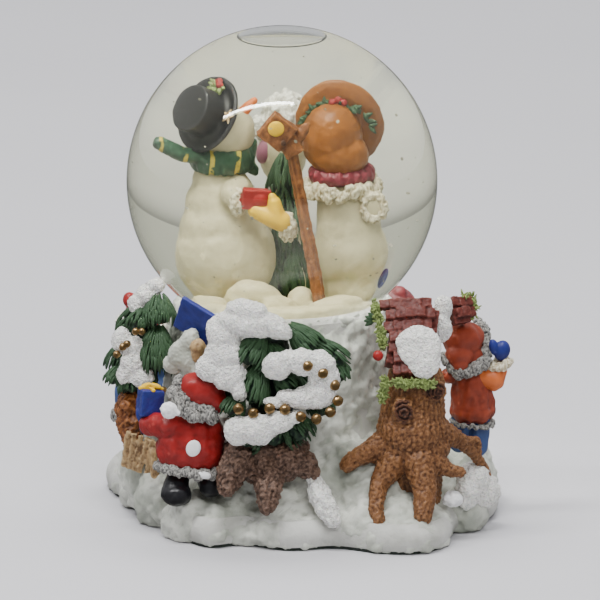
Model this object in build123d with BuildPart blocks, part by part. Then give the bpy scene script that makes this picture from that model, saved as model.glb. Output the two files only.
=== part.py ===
"""Water-filled snow globe on a sculpted resin base that holds a wind-up music movement.

Frame: millimetres, +Z up. The origin lies on the globe's vertical axis, on the plane that the felt ring rests on.
"""

import os
from math import cos, pi, radians, sin, sqrt, tan

from build123d import *

# ---------------------------------------------------------------- driving dimensions
GLOBE_R = 50.0  # outside radius of the blown glass ball
GLASS_T = 1.6
GLOBE_Z = 108.0  # height of the ball's centre
NECK_R = 31.0  # outside radius of the glass neck
NECK_LENGTH = 8.0
FILL_GAP = 0.1  # between the liquid and whatever bounds it
BUBBLE_R = 14.5  # radius of the free surface under the air bubble

FELT_T = 1.2
CAVITY_R = 33.0
DECK_Z = 44.0  # underside of the deck between the movement and the globe's socket
COVER_Z = 14.0  # underside of the bottom cover
COVER_T = 2.0
BOSS_RING_R = 30.0
SCREW_R = 1.0
SCREW_HEAD_R = 2.2
SCREW_HEAD_T = 1.3
RUN = 0.05  # radial running clearance of every shaft

# derived heights
inner_r = GLOBE_R - GLASS_T
neck_bore_r = NECK_R - GLASS_T
neck_top_z = GLOBE_Z - sqrt(GLOBE_R**2 - NECK_R**2)
neck_end_z = neck_top_z - NECK_LENGTH
plug_top_z = neck_top_z - 1.0
ground_z = 76.0  # the snow that the figures inside stand on
socket_z = neck_end_z - 3.0  # the plug's flange sits on the socket's floor
cover_top_z = COVER_Z + COVER_T

# footprint of the sculpted snow, anticlockwise from the back left
FOOTPRINT = [
    (-56, 33),
    (-53.5, 8),
    (-46, -6),
    (-40, -27),
    (-31, -47),
    (-22, -55),
    (-14, -51.5),
    (1, -58.5),
    (17, -56),
    (30, -61.5),
    (46, -62),
    (53, -53),
    (56, -38),
    (67, -22),
    (69.5, 4),
    (65, 30),
    (50, 48),
    (25, 57),
    (0, 61),
    (-25, 57),
    (-45, 47),
]


def save(part, name):
    """Label a finished piece and write it as its own STEP file."""
    part.label = name
    export_step(part, f"parts/{name}.step")
    return part


def limb(start, end, start_r, end_r):
    """Add a straight tapered limb from start to end, inside a BuildPart block."""
    way = Vector(*end) - Vector(*start)
    with Locations(Plane(origin=start, z_dir=way)):
        if abs(start_r - end_r) < 1e-6:
            Cylinder(start_r, way.length, align=(Align.CENTER, Align.CENTER, Align.MIN))
        else:
            Cone(start_r, end_r, way.length, align=(Align.CENTER, Align.CENTER, Align.MIN))


def ball(centre, radius):
    """Add a ball, inside a BuildPart block; its poles are tilted away from every flat and cone it meets."""
    with Locations(centre):
        Sphere(radius, rotation=(37, 23, 0))


def turned(points, axis_x=0.0, axis_y=0.0):
    """Add a solid turned about a vertical axis from (radius, height) points, inside a BuildPart block."""
    with BuildSketch(Plane(origin=(axis_x, axis_y, 0), x_dir=(1, 0, 0), z_dir=(0, -1, 0))) as profile:
        with BuildLine():
            Polyline(*points, close=True)
        make_face()
    revolve(profile.sketch, axis=Axis((axis_x, axis_y, 0), (0, 0, 1)))


def cut_by(piece, *neighbours):
    """Take the room of the neighbours in reach out of the piece, inside its BuildPart block."""
    reach = piece.part.bounding_box()
    for neighbour in neighbours:
        if reach.overlaps(neighbour.bounding_box()):
            add(neighbour, mode=Mode.SUBTRACT)


def lumps(places, neighbours):
    """Balls at (centre, radius) places, each cut clear of the neighbours before they are joined."""
    with BuildPart() as joined:
        for centre, radius in places:
            with BuildPart(mode=Mode.PRIVATE) as lump:
                ball(centre, radius)
                cut_by(lump, *neighbours)
            add(lump.part)
    return joined.part


def gear_points(teeth, module, phase=0.0):
    """Corner points of a straight-flanked gear, with a tooth centred at the phase angle in degrees."""
    pitch_r = module * teeth / 2
    tip_r = pitch_r + 0.8 * module
    root_r = pitch_r - 1.1 * module
    half_tooth = 0.19 * pi * module
    lean = tan(radians(20))
    root_half = (half_tooth + 1.1 * module * lean) / root_r
    tip_half = (half_tooth - 0.8 * module * lean) / tip_r
    points = []
    for k in range(teeth):
        middle = radians(phase) + 2 * pi * k / teeth
        flanks = ((root_r, -root_half), (tip_r, -tip_half), (tip_r, tip_half), (root_r, root_half))
        for radius, offset in flanks:
            points.append((radius * cos(middle + offset), radius * sin(middle + offset)))
    return points


def across(x, y, z):
    """Plane square to +X, whose own x runs along +Y and y along +Z."""
    return Plane(origin=(x, y, z), x_dir=(0, 1, 0), z_dir=(1, 0, 0))


def spur_gear(x, y, z, width, teeth, module, phase=0.0):
    """Add a spur gear whose axis runs along +X, inside a BuildPart block."""
    with BuildSketch(across(x, y, z)) as profile:
        with BuildLine():
            Polyline(*gear_points(teeth, module, phase), close=True)
        make_face()
    extrude(profile.sketch, amount=width)


# ---------------------------------------------------------------- globe, plug and liquid
def make_glass():
    """Blown ball with a short straight neck, open at the bottom."""
    neck_inner_z = GLOBE_Z - sqrt(inner_r**2 - neck_bore_r**2)
    with BuildPart() as glass:
        with BuildSketch(Plane.XZ):
            with BuildLine():
                ThreePointArc((0, GLOBE_Z + GLOBE_R), (GLOBE_R, GLOBE_Z), (NECK_R, neck_top_z))
                Line((NECK_R, neck_top_z), (NECK_R, neck_end_z))
                Line((NECK_R, neck_end_z), (neck_bore_r, neck_end_z))
                Line((neck_bore_r, neck_end_z), (neck_bore_r, neck_inner_z))
                ThreePointArc((neck_bore_r, neck_inner_z), (inner_r, GLOBE_Z), (0, GLOBE_Z + inner_r))
                Line((0, GLOBE_Z + inner_r), (0, GLOBE_Z + GLOBE_R))
            make_face()
        revolve(axis=Axis.Z)
    return save(glass.part, "glass_globe")


def make_plug():
    """Rubber stopper pressed into the neck, with a flange under the glass."""
    plug_r = neck_bore_r - 0.02
    with BuildPart() as plug:
        turned(
            [
                (0, socket_z),
                (NECK_R, socket_z),
                (NECK_R, neck_end_z),
                (plug_r, neck_end_z),
                (plug_r, plug_top_z),
                (0, plug_top_z),
            ]
        )
    return save(plug.part, "neck_plug")


def make_plate():
    """Cast snow ground that the figures stand on, glued to the plug."""
    rim_r = neck_bore_r - 0.6
    with BuildPart() as plate:
        turned(
            [
                (0, plug_top_z),
                (rim_r, plug_top_z),
                (rim_r, ground_z - 2.5),
                (rim_r - 2.5, ground_z),
                (0, ground_z),
            ]
        )
    return save(plate.part, "snow_plate")


def make_snowman():
    """Gentleman snowman, seen from behind, looking up and to the right."""
    x, y = -13.5, 2.0
    with BuildPart() as body:
        turned(
            [(0, ground_z), (9, ground_z), (11.4, 82), (12.3, 91), (10.5, 99), (7.4, 106), (6.2, 112), (0, 112)],
            x,
            y,
        )
        ball((x + 0.3, y, 119.5), 7.6)
        limb((x + 5, y - 3, 106), (-7.5, -8.5, 103), 3.6, 3.4)
    with BuildPart() as scarf:
        turned([(0, 108.8), (7.6, 108.8), (8.2, 111.5), (7.6, 114.4), (0, 114.4)], x, y)
        limb((x - 5, y - 2, 112), (-28.5, -1.5, 116), 2.6, 2.2)
        cut_by(scarf, body.part)
    lean = Plane(origin=(-17.6, 0.5, 123.6), z_dir=(-0.75, -0.12, 0.65))
    with BuildPart() as hat:
        with BuildSketch(lean):
            Circle(10.2)
        extrude(amount=1.2)
        with BuildSketch(lean.offset(1.2)):
            Circle(6.6)
        extrude(amount=8.0)
        cut_by(hat, body.part, scarf.part)
    with BuildPart() as nose:
        limb((-7.5, 4.0, 123.6), (-2.8, 5.0, 127.4), 1.6, 0.4)
        cut_by(nose, body.part, hat.part)
    return [
        save(body.part, "snowman_body"),
        save(scarf.part, "snowman_scarf"),
        save(hat.part, "snowman_top_hat"),
        save(nose.part, "snowman_nose"),
    ]


def make_snow_lady():
    """Lady snowman with a straw bonnet, a scarf and a fur collar."""
    x, y = 15.2, 1.5
    with BuildPart() as body:
        turned(
            [(0, ground_z), (8.5, ground_z), (10.0, 82), (10.6, 90), (9.2, 97), (7.0, 103), (6.4, 109), (0, 109)],
            x,
            y,
        )
        ball((x - 0.5, y, 114.8), 6.8)
    with BuildPart() as collar:
        turned([(0, 103.0), (8.8, 103.0), (9.6, 105.0), (8.6, 107.4), (0, 107.4)], x, y)
        limb((x + 7, y - 1, 104), (24.0, -2.5, 100.5), 3.0, 3.6)
        cut_by(collar, body.part)
    with BuildPart() as scarf:
        turned([(0, 107.4), (7.8, 107.4), (7.8, 110.6), (0, 110.6)], x, y)
        cut_by(scarf, body.part)
    face = Plane(origin=(x - 0.8, y + 2.5, 119.5), z_dir=(0.1, 0.95, 0.3))
    with BuildPart() as bonnet:
        with BuildSketch(face):
            Circle(11.0)
        extrude(amount=1.4)
        ball((x - 1.0, y - 1.8, 117.6), 8.6)
        cut_by(bonnet, body.part, scarf.part)
    return [
        save(body.part, "snow_lady_body"),
        save(collar.part, "snow_lady_collar"),
        save(scarf.part, "snow_lady_scarf"),
        save(bonnet.part, "straw_bonnet"),
    ]


def make_globe_details(taken):
    """Joined mittens, birdhouse on its post, fir and snow child between the two figures."""
    with BuildPart() as mittens:
        limb((-8.6, -9.4, 103.6), (-4.4, -11.2, 102.6), 3.0, 2.8)
        limb((-4.4, -11.2, 102.6), (0.4, -11.6, 98.6), 3.2, 3.0)
        ball((1.4, -11.0, 96.0), 3.0)
        cut_by(mittens, *taken)
    with BuildPart() as post:
        limb((9.4, -15.5, ground_z), (4.2, -13.8, 117.5), 1.9, 1.5)
        with Locations((9.4, -15.5, ground_z)):
            Box(6, 6, 3, align=(Align.CENTER, Align.CENTER, Align.MAX), mode=Mode.SUBTRACT)
        cut_by(post, mittens.part)
    house_plane = Plane(origin=(0.6, -17.0, 119.6), x_dir=(0.9, 0, -0.44), z_dir=(0, -1, 0))
    with BuildPart() as house:
        with BuildSketch(house_plane.offset(-2.0)):
            with BuildLine():
                Polyline((-5.4, -4.4), (3.8, -4.4), (5.6, 0.4), (0, 6.0), (-5.6, 1.0), close=True)
            make_face()
        extrude(amount=5.0)
        cut_by(house, post.part, *taken)
    with BuildPart() as fir:
        turned([(0, ground_z), (2.2, ground_z), (2.2, 79), (6.6, 79), (3.6, 90), (5.2, 90), (0, 111)], 0.5, 7.0)
        cut_by(fir, *taken)
    with BuildPart() as child:
        turned([(0, ground_z), (4.6, ground_z), (5.4, 84), (3.6, 96), (3.4, 106), (0, 106)], -1.0, 17.5)
        ball((-1.0, 17.5, 112.0), 6.4)
        cut_by(child, fir.part, *taken)
    return [
        save(mittens.part, "joined_mittens"),
        save(post.part, "birdhouse_post"),
        save(house.part, "birdhouse"),
        save(fir.part, "globe_fir"),
        save(child.part, "snow_child"),
    ]


def make_water(inside):
    """Liquid that fills the ball around the figures, up to a flat free surface under an air bubble."""
    radius = inner_r - FILL_GAP
    surface_z = GLOBE_Z + sqrt(radius**2 - BUBBLE_R**2)
    bore_r = neck_bore_r - FILL_GAP
    joint_z = GLOBE_Z - sqrt(radius**2 - bore_r**2)
    with BuildPart() as water:
        with BuildSketch(Plane.XZ):
            with BuildLine():
                Line((0, surface_z), (BUBBLE_R, surface_z))
                ThreePointArc((BUBBLE_R, surface_z), (radius, GLOBE_Z), (bore_r, joint_z))
                Line((bore_r, joint_z), (bore_r, plug_top_z + FILL_GAP))
                Line((bore_r, plug_top_z + FILL_GAP), (0, plug_top_z + FILL_GAP))
                Line((0, plug_top_z + FILL_GAP), (0, surface_z))
            make_face()
        revolve(axis=Axis.Z)
        cut_by(water, *inside)
    return save(water.part, "globe_water")


# ---------------------------------------------------------------- resin base and bottom
def snow_outline(height, share):
    """Sketch of the footprint, drawn in towards the axis by a share, at a height."""
    with BuildSketch(Plane.XY.offset(height)) as outline:
        with BuildLine():
            Spline(*[(share * x, share * y) for x, y in FOOTPRINT], periodic=True)
        make_face()
    return outline.sketch


def make_base():
    """Hollow casting: snow bank, pedestal drum, socket for the globe and four screw bosses."""
    rim_z = neck_top_z + 1.2
    with BuildPart() as base:
        loft([snow_outline(FELT_T, 0.985), snow_outline(5.0, 1.0), snow_outline(9.5, 0.96)])
        drum = [(42.5, 8), (41, 14), (38.5, 22), (36.5, 40), (35.2, 60), (34.2, rim_z - 2), (32.8, rim_z)]
        turned([(0, 8), *drum, (0, rim_z)])
        turned([(0, 0), (CAVITY_R, 0), (CAVITY_R, DECK_Z), (0, DECK_Z)])
    with BuildPart() as casting:
        add(base.part)
        with Locations((0, 0, 0)):
            Cylinder(CAVITY_R, DECK_Z, align=(Align.CENTER, Align.CENTER, Align.MIN), mode=Mode.SUBTRACT)
        with BuildSketch(Plane.XY.offset(socket_z)):
            Circle(NECK_R + 0.3)
        extrude(amount=rim_z, mode=Mode.SUBTRACT)
        with BuildSketch(Plane.XY.offset(socket_z - 5)):
            Circle(20)
        extrude(amount=-(socket_z - 5 - DECK_Z), mode=Mode.SUBTRACT)
        with Locations((0, 0, GLOBE_Z)):
            Sphere(GLOBE_R + 0.15, mode=Mode.SUBTRACT)
        with BuildSketch(Plane.XY.offset(cover_top_z)):
            with PolarLocations(BOSS_RING_R, 4):
                Circle(2.8)
        extrude(amount=DECK_Z - cover_top_z + 1)
        with BuildSketch(Plane.XY.offset(cover_top_z)):
            with PolarLocations(BOSS_RING_R, 4):
                Circle(SCREW_R)
        extrude(amount=8, mode=Mode.SUBTRACT)
    return base.part, save(casting.part, "base_casting")


def make_felt():
    """Felt ring glued under the casting; the whole object rests on it."""
    with BuildPart() as felt:
        with BuildSketch():
            with BuildLine():
                Spline(*[(0.97 * x, 0.97 * y) for x, y in FOOTPRINT], periodic=True)
            make_face()
            Circle(CAVITY_R + 0.8, mode=Mode.SUBTRACT)
        extrude(amount=FELT_T)
    return save(felt.part, "felt_ring")


MOVEMENT_SCREWS = [(-21.0, 12.5), (-21.0, -12.5), (23.0, -13.0)]


def make_cover():
    """Plastic disc that closes the cavity and carries the movement."""
    with BuildPart() as cover:
        with BuildSketch(Plane.XY.offset(COVER_Z)):
            Circle(CAVITY_R - 0.3)
            with PolarLocations(BOSS_RING_R, 4):
                Circle(SCREW_R + 0.2, mode=Mode.SUBTRACT)
            with Locations(*MOVEMENT_SCREWS):
                Circle(SCREW_R + 0.2, mode=Mode.SUBTRACT)
            with Locations((KEY_X, 0)):
                Circle(ARBOR_R + 0.6, mode=Mode.SUBTRACT)
        extrude(amount=COVER_T)
        with BuildSketch(Plane.XY.offset(COVER_Z)):
            Circle(21.4)
            Circle(20.2, mode=Mode.SUBTRACT)
        extrude(amount=-0.8)
    return save(cover.part, "bottom_cover")


def pan_screw(x, y, head_z, length, radius, head_r, head_t):
    """Add a slotted pan-head screw that points up from head_z, inside a BuildPart block."""
    hang = (Align.CENTER, Align.CENTER, Align.MAX)
    with Locations((x, y, head_z)):
        Cylinder(head_r, head_t, align=hang)
        Cylinder(radius, length, align=(Align.CENTER, Align.CENTER, Align.MIN))
    with Locations((x, y, head_z - 0.5 * head_t)):
        Box(2 * head_r, 0.45, head_t, align=hang, mode=Mode.SUBTRACT)


def make_base_screws():
    """Four screws into the casting's bosses and three into the movement's bedplate."""
    places = [(BOSS_RING_R * cos(k * pi / 2), BOSS_RING_R * sin(k * pi / 2)) for k in range(4)]
    with BuildPart() as screws:
        for x, y in places:
            pan_screw(x, y, COVER_Z, 8.5, SCREW_R, SCREW_HEAD_R, SCREW_HEAD_T)
        for x, y in MOVEMENT_SCREWS:
            pan_screw(x, y, COVER_Z, COVER_T + 2.0, SCREW_R, SCREW_HEAD_R, SCREW_HEAD_T)
    return save(screws.part, "base_screws")


# ---------------------------------------------------------------- scenery glued round the pedestal
def make_banks(around):
    """Snow mounds heaped on the bank round the figures."""
    mounds = [
        ((63, -11, 9), 10.0),
        ((59, -30, 7), 9.0),
        ((-43, 4, 7), 10.5),
        ((-43, 27, 5), 11.0),
        ((-29, -43, 3), 9.5),
        ((6, -50, 4), 8.5),
        ((36, -50, 2), 8.5),
        ((38, 35, 5), 11.0),
        ((0, 47, 6), 9.5),
    ]
    with BuildPart() as below:
        with Locations((0, 0, 5)):
            Box(200, 200, 30, align=(Align.CENTER, Align.CENTER, Align.MAX))
    return save(lumps(mounds, [below.part, *around]), "snow_banks")


def make_front_tree(around):
    """Snow-laden fir in front of the pedestal, strung with beads."""
    with BuildPart() as trunk:
        limb((-4, -49, 10), (-3, -44, 32.5), 8.0, 6.0)
        limb((-4, -50, 19), (-17, -54, 10), 4.5, 2.6)
        limb((-4, -50, 20), (12.5, -53, 12), 4.5, 2.4)
        limb((-3, -50, 18), (-1, -58, 9.5), 4.2, 2.6)
        cut_by(trunk, *around)
    with BuildPart() as boughs:
        turned([(0, 33), (18, 33), (19, 36), (11, 50), (14, 51), (8, 62), (9, 63), (2, 76), (0, 76)], -1, -43)
        cut_by(boughs, trunk.part, *around)
    snow_places = [
        ((-12, -49, 67), 6.5),
        ((-5, -49, 71), 6.0),
        ((-14, -52, 58), 6.0),
        ((9, -53, 55), 7.5),
        ((12, -54.5, 47), 6.5),
        ((-6, -56, 39), 6.0),
        ((3, -57, 40), 5.5),
    ]
    snow = lumps(snow_places, [boughs.part, trunk.part, *around])
    return [
        save(trunk.part, "front_tree_trunk"),
        save(boughs.part, "front_tree_boughs"),
        save(snow, "front_tree_snow"),
    ]


def make_left_tree(around):
    """Smaller fir on the left, on a trunk clad with split planks."""
    with BuildPart() as trunk:
        limb((-46, -12, 10), (-46, -9, 36.9), 5.5, 4.2)
        limb((-46, -14, 14), (-45, -27, 10), 3.0, 2.2)
        cut_by(trunk, *around)
    with BuildPart() as boughs:
        turned([(0, 37), (10, 37), (6.2, 49), (8.6, 50), (5.4, 60), (6.4, 61), (1.5, 74), (0, 74)], -47, -8)
        cut_by(boughs, trunk.part, *around)
    snow_places = [
        ((-49.3, -11.2, 70.2), 3.9),
        ((-50.1, -17.2, 48.1), 4.6),
        ((-32.2, -28.1, 59.1), 5.4),
        ((-28.1, -33.2, 54.2), 4.6),
    ]
    snow = lumps(snow_places, [boughs.part, trunk.part, *around])
    with BuildPart() as board:
        with Locations(Location((-28, -34.0, 68), (14, -6, -38))):
            Box(13, 1.6, 14)
        cut_by(board, boughs.part, snow, *around)
    return [
        save(trunk.part, "left_tree_trunk"),
        save(boughs.part, "left_tree_boughs"),
        save(snow, "left_tree_snow"),
        save(board.part, "blue_board"),
    ]


def make_beads(around):
    """Two strings of gilt beads, one round each fir."""
    places = []
    for k in range(8):
        turn = radians(-112 + 13 * k)
        places.append(((0.5 + 19.3 * cos(turn), -43.5 + 19.3 * sin(turn), 43 + 1.9 * k), 1.3))
    for k in range(6):
        places.append(((-57.0 + 2.9 * k, -15.0 - 1.7 * k, 50 + 2.1 * k), 1.2))
    return save(lumps(places, around), "bead_strings")


def make_stump(around):
    """Rooted stump that carries a shingled roof with moss and glittered snow."""
    roots = [
        ((39, -43, 30), (21, -44, 22), 5.0, 3.0),
        ((40, -44, 25), (30, -55, 10), 5.0, 2.8),
        ((43, -45, 25), (43, -56, 10), 5.0, 3.0),
        ((46, -43, 27), (58, -42, 20), 4.5, 2.4),
        ((47, -40, 32), (66, -31, 19), 4.5, 2.2),
    ]
    with BuildPart() as stump:
        limb((42, -40, 12), (42, -38, 50), 12.5, 9.5)
        for root in roots:
            limb(*root)
        cut_by(stump, *around)
    with BuildPart() as roof:
        with Locations(Location((40, -40, 63.5), (-28, 8, -8))):
            Box(21, 5, 26)
        with Locations(Location((57.5, -22, 68.5), (-20, -8, 20))):
            Box(6.5, 6, 9)
        with Locations(Location((52, -28, 66), (-24, 0, 20))):
            Box(6, 5, 16)
        cut_by(roof, stump.part, *around)
    with BuildPart() as snow:
        with Locations(Location((40, -40, 63.5), (-28, 8, -8)) * Location((2.5, -4, -1))):
            Box(12, 3, 15)
        with Locations(Location((52, -28, 66), (-24, 0, 20)) * Location((0, 0, 9.4))):
            Box(5.5, 4.5, 2.8)
        fillet(snow.edges(), 1)
        cut_by(snow, roof.part, stump.part, *around)
    garland_places = [
        ((29, -42, 70), 2.6),
        ((30.5, -46, 62), 2.4),
        ((34, -51, 52), 3.0),
        ((42, -52, 52), 2.6),
        ((61.5, -21, 71), 2.0),
        ((30.6, -51, 62), 1.9),
    ]
    garland = lumps(garland_places, [roof.part, stump.part, snow.part, *around])
    return [
        save(stump.part, "tree_stump"),
        save(roof.part, "shingle_roof"),
        save(snow.part, "roof_snow"),
        save(garland, "roof_garland"),
    ]


def add_legs(x, y, foot_z, size):
    """Add two straight legs, inside a BuildPart block."""
    for side in (-1, 1):
        leg_x = x + 3.8 * side * size
        limb((leg_x, y, foot_z), (leg_x, y, foot_z + 8 * size), 3.7 * size, 3.6 * size)


def add_coat(x, y, foot_z, size, hand):
    """Add a flared coat and one arm that reaches to the hand, inside a BuildPart block."""
    hem_z = foot_z + 8 * size
    neck_z = foot_z + 29 * size
    turned([(0, hem_z), (10 * size, hem_z), (9.6 * size, hem_z + 6), (6 * size, neck_z), (0, neck_z)], x, y)
    limb((x, y, neck_z - 3.5 * size), hand, 3.6 * size, 3.2 * size)


def add_head(x, y, foot_z, size):
    """Add a hooded head with its fur brim, inside a BuildPart block."""
    neck_z = foot_z + 29 * size
    profile = [(0, 0), (6.6, 0), (7.6, 3), (6.4, 8), (3.5, 12), (0, 13)]
    turned([(radius * size, neck_z + height * size) for radius, height in profile], x, y)


def make_near_child(name, x, y, foot_z, size, hand, around):
    """Child in a hooded coat, in four pieces: legs, coat, hooded head and mitten."""
    with BuildPart() as legs:
        add_legs(x, y, foot_z, size)
        cut_by(legs, *around)
    with BuildPart() as coat:
        add_coat(x, y, foot_z, size, hand)
        cut_by(coat, *around)
    with BuildPart() as head:
        add_head(x, y, foot_z, size)
        cut_by(head, coat.part, *around)
    with BuildPart() as mitten:
        ball(hand, 3.8 * size)
        cut_by(mitten, coat.part, legs.part, head.part, *around)
    return [
        save(legs.part, f"{name}_legs"),
        save(coat.part, f"{name}_coat"),
        save(head.part, f"{name}_head"),
        save(mitten.part, f"{name}_mitten"),
    ]


def make_far_child(name, x, y, foot_z, size, hand, around):
    """Child behind the globe, in two pieces: the clothed body and the hooded head."""
    with BuildPart() as body:
        add_legs(x, y, foot_z, size)
        add_coat(x, y, foot_z, size, hand)
        ball(hand, 3.8 * size)
        cut_by(body, *around)
    with BuildPart() as head:
        add_head(x, y, foot_z, size)
        cut_by(head, body.part, *around)
    return [save(body.part, f"{name}_body"), save(head.part, f"{name}_head")]


def make_gift(around):
    """Ribboned box that the front child carries."""
    with BuildPart() as gift:
        with Locations(Location((-41.5, -38.5, 43), (0, 8, 20))):
            Box(8, 7.5, 8.5)
        cut_by(gift, *around)
    return save(gift.part, "gift_box")


# ---------------------------------------------------------------- wind-up music movement
KEY_X = -12.0  # the winding arbor's axis
ARBOR_R = 1.6
BED_T = 2.5
bed_top_z = cover_top_z + BED_T
CROWN_TEETH = 36
CYLINDER_PINION_TEETH = 12
CROWN_MODULE = 0.65
crown_r = CROWN_MODULE * CROWN_TEETH / 2
crown_pitch_z = bed_top_z + 2.7
axis_z = crown_pitch_z + CROWN_MODULE * CYLINDER_PINION_TEETH / 2
GREAT_TEETH = 28
IDLER_PINION_TEETH = 8
TRAIN_MODULE = 0.45
idler_y = TRAIN_MODULE * (GREAT_TEETH + IDLER_PINION_TEETH) / 2
GREAT_X = 19.6
WORM_WHEEL_TEETH = 12
WORM_MODULE = 0.5
worm_wheel_x = GREAT_X + 1.8
WORM_WHEEL_W = 1.0
WORM_R = 1.5
worm_x = worm_wheel_x + WORM_WHEEL_W / 2
worm_y = idler_y + WORM_MODULE * WORM_WHEEL_TEETH / 2 + WORM_R + 0.1
CYLINDER_R = 5.8
CYLINDER_X = 3.0
CYLINDER_LENGTH = 16.0
SHAFT_R = 0.8
THIN_SHAFT_R = 0.5
FLY_Z = 30.2


def make_bedplate():
    """Zinc bedplate with a well under the cylinder and a raised seat for the comb."""
    with BuildPart() as bed:
        with BuildSketch(Plane.XY.offset(cover_top_z)):
            with BuildLine():
                right = [(24.5, -17), (26.2, -15), (26.2, 15), (24.5, 17)]
                Polyline((-25, -16), (-23, -17), *right, (-23, 17), (-25, 16), close=True)
            make_face()
            with Locations(*MOVEMENT_SCREWS):
                Circle(SCREW_R, mode=Mode.SUBTRACT)
            with Locations((KEY_X, 0)):
                Circle(ARBOR_R + RUN, mode=Mode.SUBTRACT)
        extrude(amount=BED_T)
        with BuildSketch(Plane.XY.offset(bed_top_z)):
            with Locations((CYLINDER_X + 9.0, 0)):
                Rectangle(19.4, 13.6)
        extrude(amount=-1.3, mode=Mode.SUBTRACT)
        with BuildSketch(Plane.XY.offset(bed_top_z)):
            with Locations((11, -14)):
                Rectangle(17, 5)
        extrude(amount=axis_z - 0.4 - bed_top_z)
        with BuildSketch(Plane.XY.offset(axis_z - 0.4)):
            with Locations((6.5, -14), (15.5, -14)):
                Circle(0.9)
        extrude(amount=-4, mode=Mode.SUBTRACT)
    return save(bed.part, "movement_bedplate")


def make_spring_housing():
    """Inverted cup over the mainspring, held by a strap on two posts."""
    floor_z = crown_pitch_z + 0.1
    top_z = floor_z + 13.0
    with BuildPart() as housing:
        turned(
            [
                (ARBOR_R + RUN, top_z - 1.2),
                (9.6, top_z - 1.2),
                (9.6, floor_z),
                (10.5, floor_z),
                (10.5, top_z - 1.0),
                (9.5, top_z),
                (ARBOR_R + RUN, top_z),
            ],
            KEY_X,
            0,
        )
        with BuildSketch(Plane.XY.offset(top_z - 2.4)):
            with Locations((KEY_X, 0)):
                Rectangle(5, 32.4)
                Circle(10.0, mode=Mode.SUBTRACT)
        extrude(amount=1.4)
        with BuildSketch(Plane.XY.offset(bed_top_z)):
            with Locations((KEY_X, 14.4), (KEY_X, -14.4)):
                Circle(1.8)
        extrude(amount=top_z - 2.4 - bed_top_z)
    return save(housing.part, "spring_housing")


def make_mainspring():
    """Flat spiral spring, five turns from the arbor's hook to the housing's wall."""
    inner, outer, turns, thick = 2.6, 9.2, 5, 0.45
    steps = 12 * turns

    def spiral(extra):
        made = []
        for k in range(steps + 1):
            radius = inner + extra + (outer - inner) * k / steps
            angle = 2 * pi * turns * k / steps
            made.append((KEY_X + radius * cos(angle), radius * sin(angle)))
        return made

    near, far = spiral(-thick / 2), spiral(thick / 2)
    with BuildPart() as spring:
        with BuildSketch(Plane.XY.offset(crown_pitch_z + 1.0)):
            with BuildLine():
                Spline(*near)
                Line(near[-1], far[-1])
                Spline(*far)
                Line(near[0], far[0])
            make_face()
        extrude(amount=10.4)
    return save(spring.part, "mainspring")


def make_drive_wheel():
    """Winding arbor with the crown wheel that drives the cylinder's pinion."""
    root_z = crown_pitch_z - 0.8
    teeth_planes = []
    for k in range(CROWN_TEETH):
        turn = 2 * pi * k / CROWN_TEETH
        foot = (KEY_X + (crown_r - 0.8) * cos(turn), (crown_r - 0.8) * sin(turn), root_z)
        outward = (cos(turn), sin(turn), 0)
        teeth_planes.append(Plane(origin=foot, x_dir=(-sin(turn), cos(turn), 0), z_dir=outward))
    with BuildPart() as wheel:
        with BuildSketch(Plane.XY.offset(bed_top_z + 0.4)):
            with Locations((KEY_X, 0)):
                Circle(crown_r + 0.8)
        extrude(amount=root_z - bed_top_z - 0.4)
        with BuildSketch(*teeth_planes):
            with BuildLine():
                flank = [(0.56, 0), (0.16, 1.3), (-0.16, 1.3), (-0.56, 0)]
                Polyline((-0.58, -0.1), (0.58, -0.1), *flank, close=True)
            make_face()
        extrude(amount=1.6)
        with BuildSketch(Plane.XY.offset(6.0)):
            with Locations((KEY_X, 0)):
                Circle(ARBOR_R)
        extrude(amount=crown_pitch_z + 13.0 - 6.0)
    return save(wheel.part, "drive_wheel")


def make_key(arbor):
    """Wing key on the arbor, inside the recess under the cover."""
    with BuildPart() as key:
        with BuildSketch(Plane.XY.offset(4.0)):
            with Locations((KEY_X, 0)):
                Circle(3.0)
        extrude(amount=9.4)
        with BuildSketch(Plane(origin=(KEY_X, 1.0, 0), x_dir=(1, 0, 0), z_dir=(0, -1, 0))):
            with Locations((0, 6.5)):
                SlotOverall(23, 7.4)
            with Locations((-7.2, 6.5), (7.2, 6.5)):
                Circle(2.1, mode=Mode.SUBTRACT)
        extrude(amount=2.0)
        cut_by(key, arbor)
    return save(key.part, "winding_key")


def make_cylinder():
    """Pinned brass cylinder on its shaft, with the pinion and the great wheel."""
    gap_down = -90 + 180 / CYLINDER_PINION_TEETH
    with BuildPart() as cylinder:
        with BuildSketch(across(CYLINDER_X, 0, axis_z)):
            Circle(CYLINDER_R)
        extrude(amount=CYLINDER_LENGTH)
        with BuildSketch(across(KEY_X + crown_r - 0.8, 0, axis_z)):
            Circle(SHAFT_R)
        extrude(amount=GREAT_X + 3.6 - (KEY_X + crown_r - 0.8))
        spur_gear(KEY_X + crown_r - 0.8, 0, axis_z, 1.6, CYLINDER_PINION_TEETH, CROWN_MODULE, gap_down)
        spur_gear(GREAT_X, 0, axis_z, 1.1, GREAT_TEETH, TRAIN_MODULE)
        for k in range(36):
            turn = radians(k * 137.5)
            x = CYLINDER_X + 0.9 + (k * 7 % 18) * 0.84
            foot = (x, (CYLINDER_R - 0.2) * cos(turn), axis_z + (CYLINDER_R - 0.2) * sin(turn))
            with Locations(Plane(origin=foot, z_dir=(0, cos(turn), sin(turn)))):
                Cylinder(0.2, 0.65, align=(Align.CENTER, Align.CENTER, Align.MIN))
    return save(cylinder.part, "music_cylinder")


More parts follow.
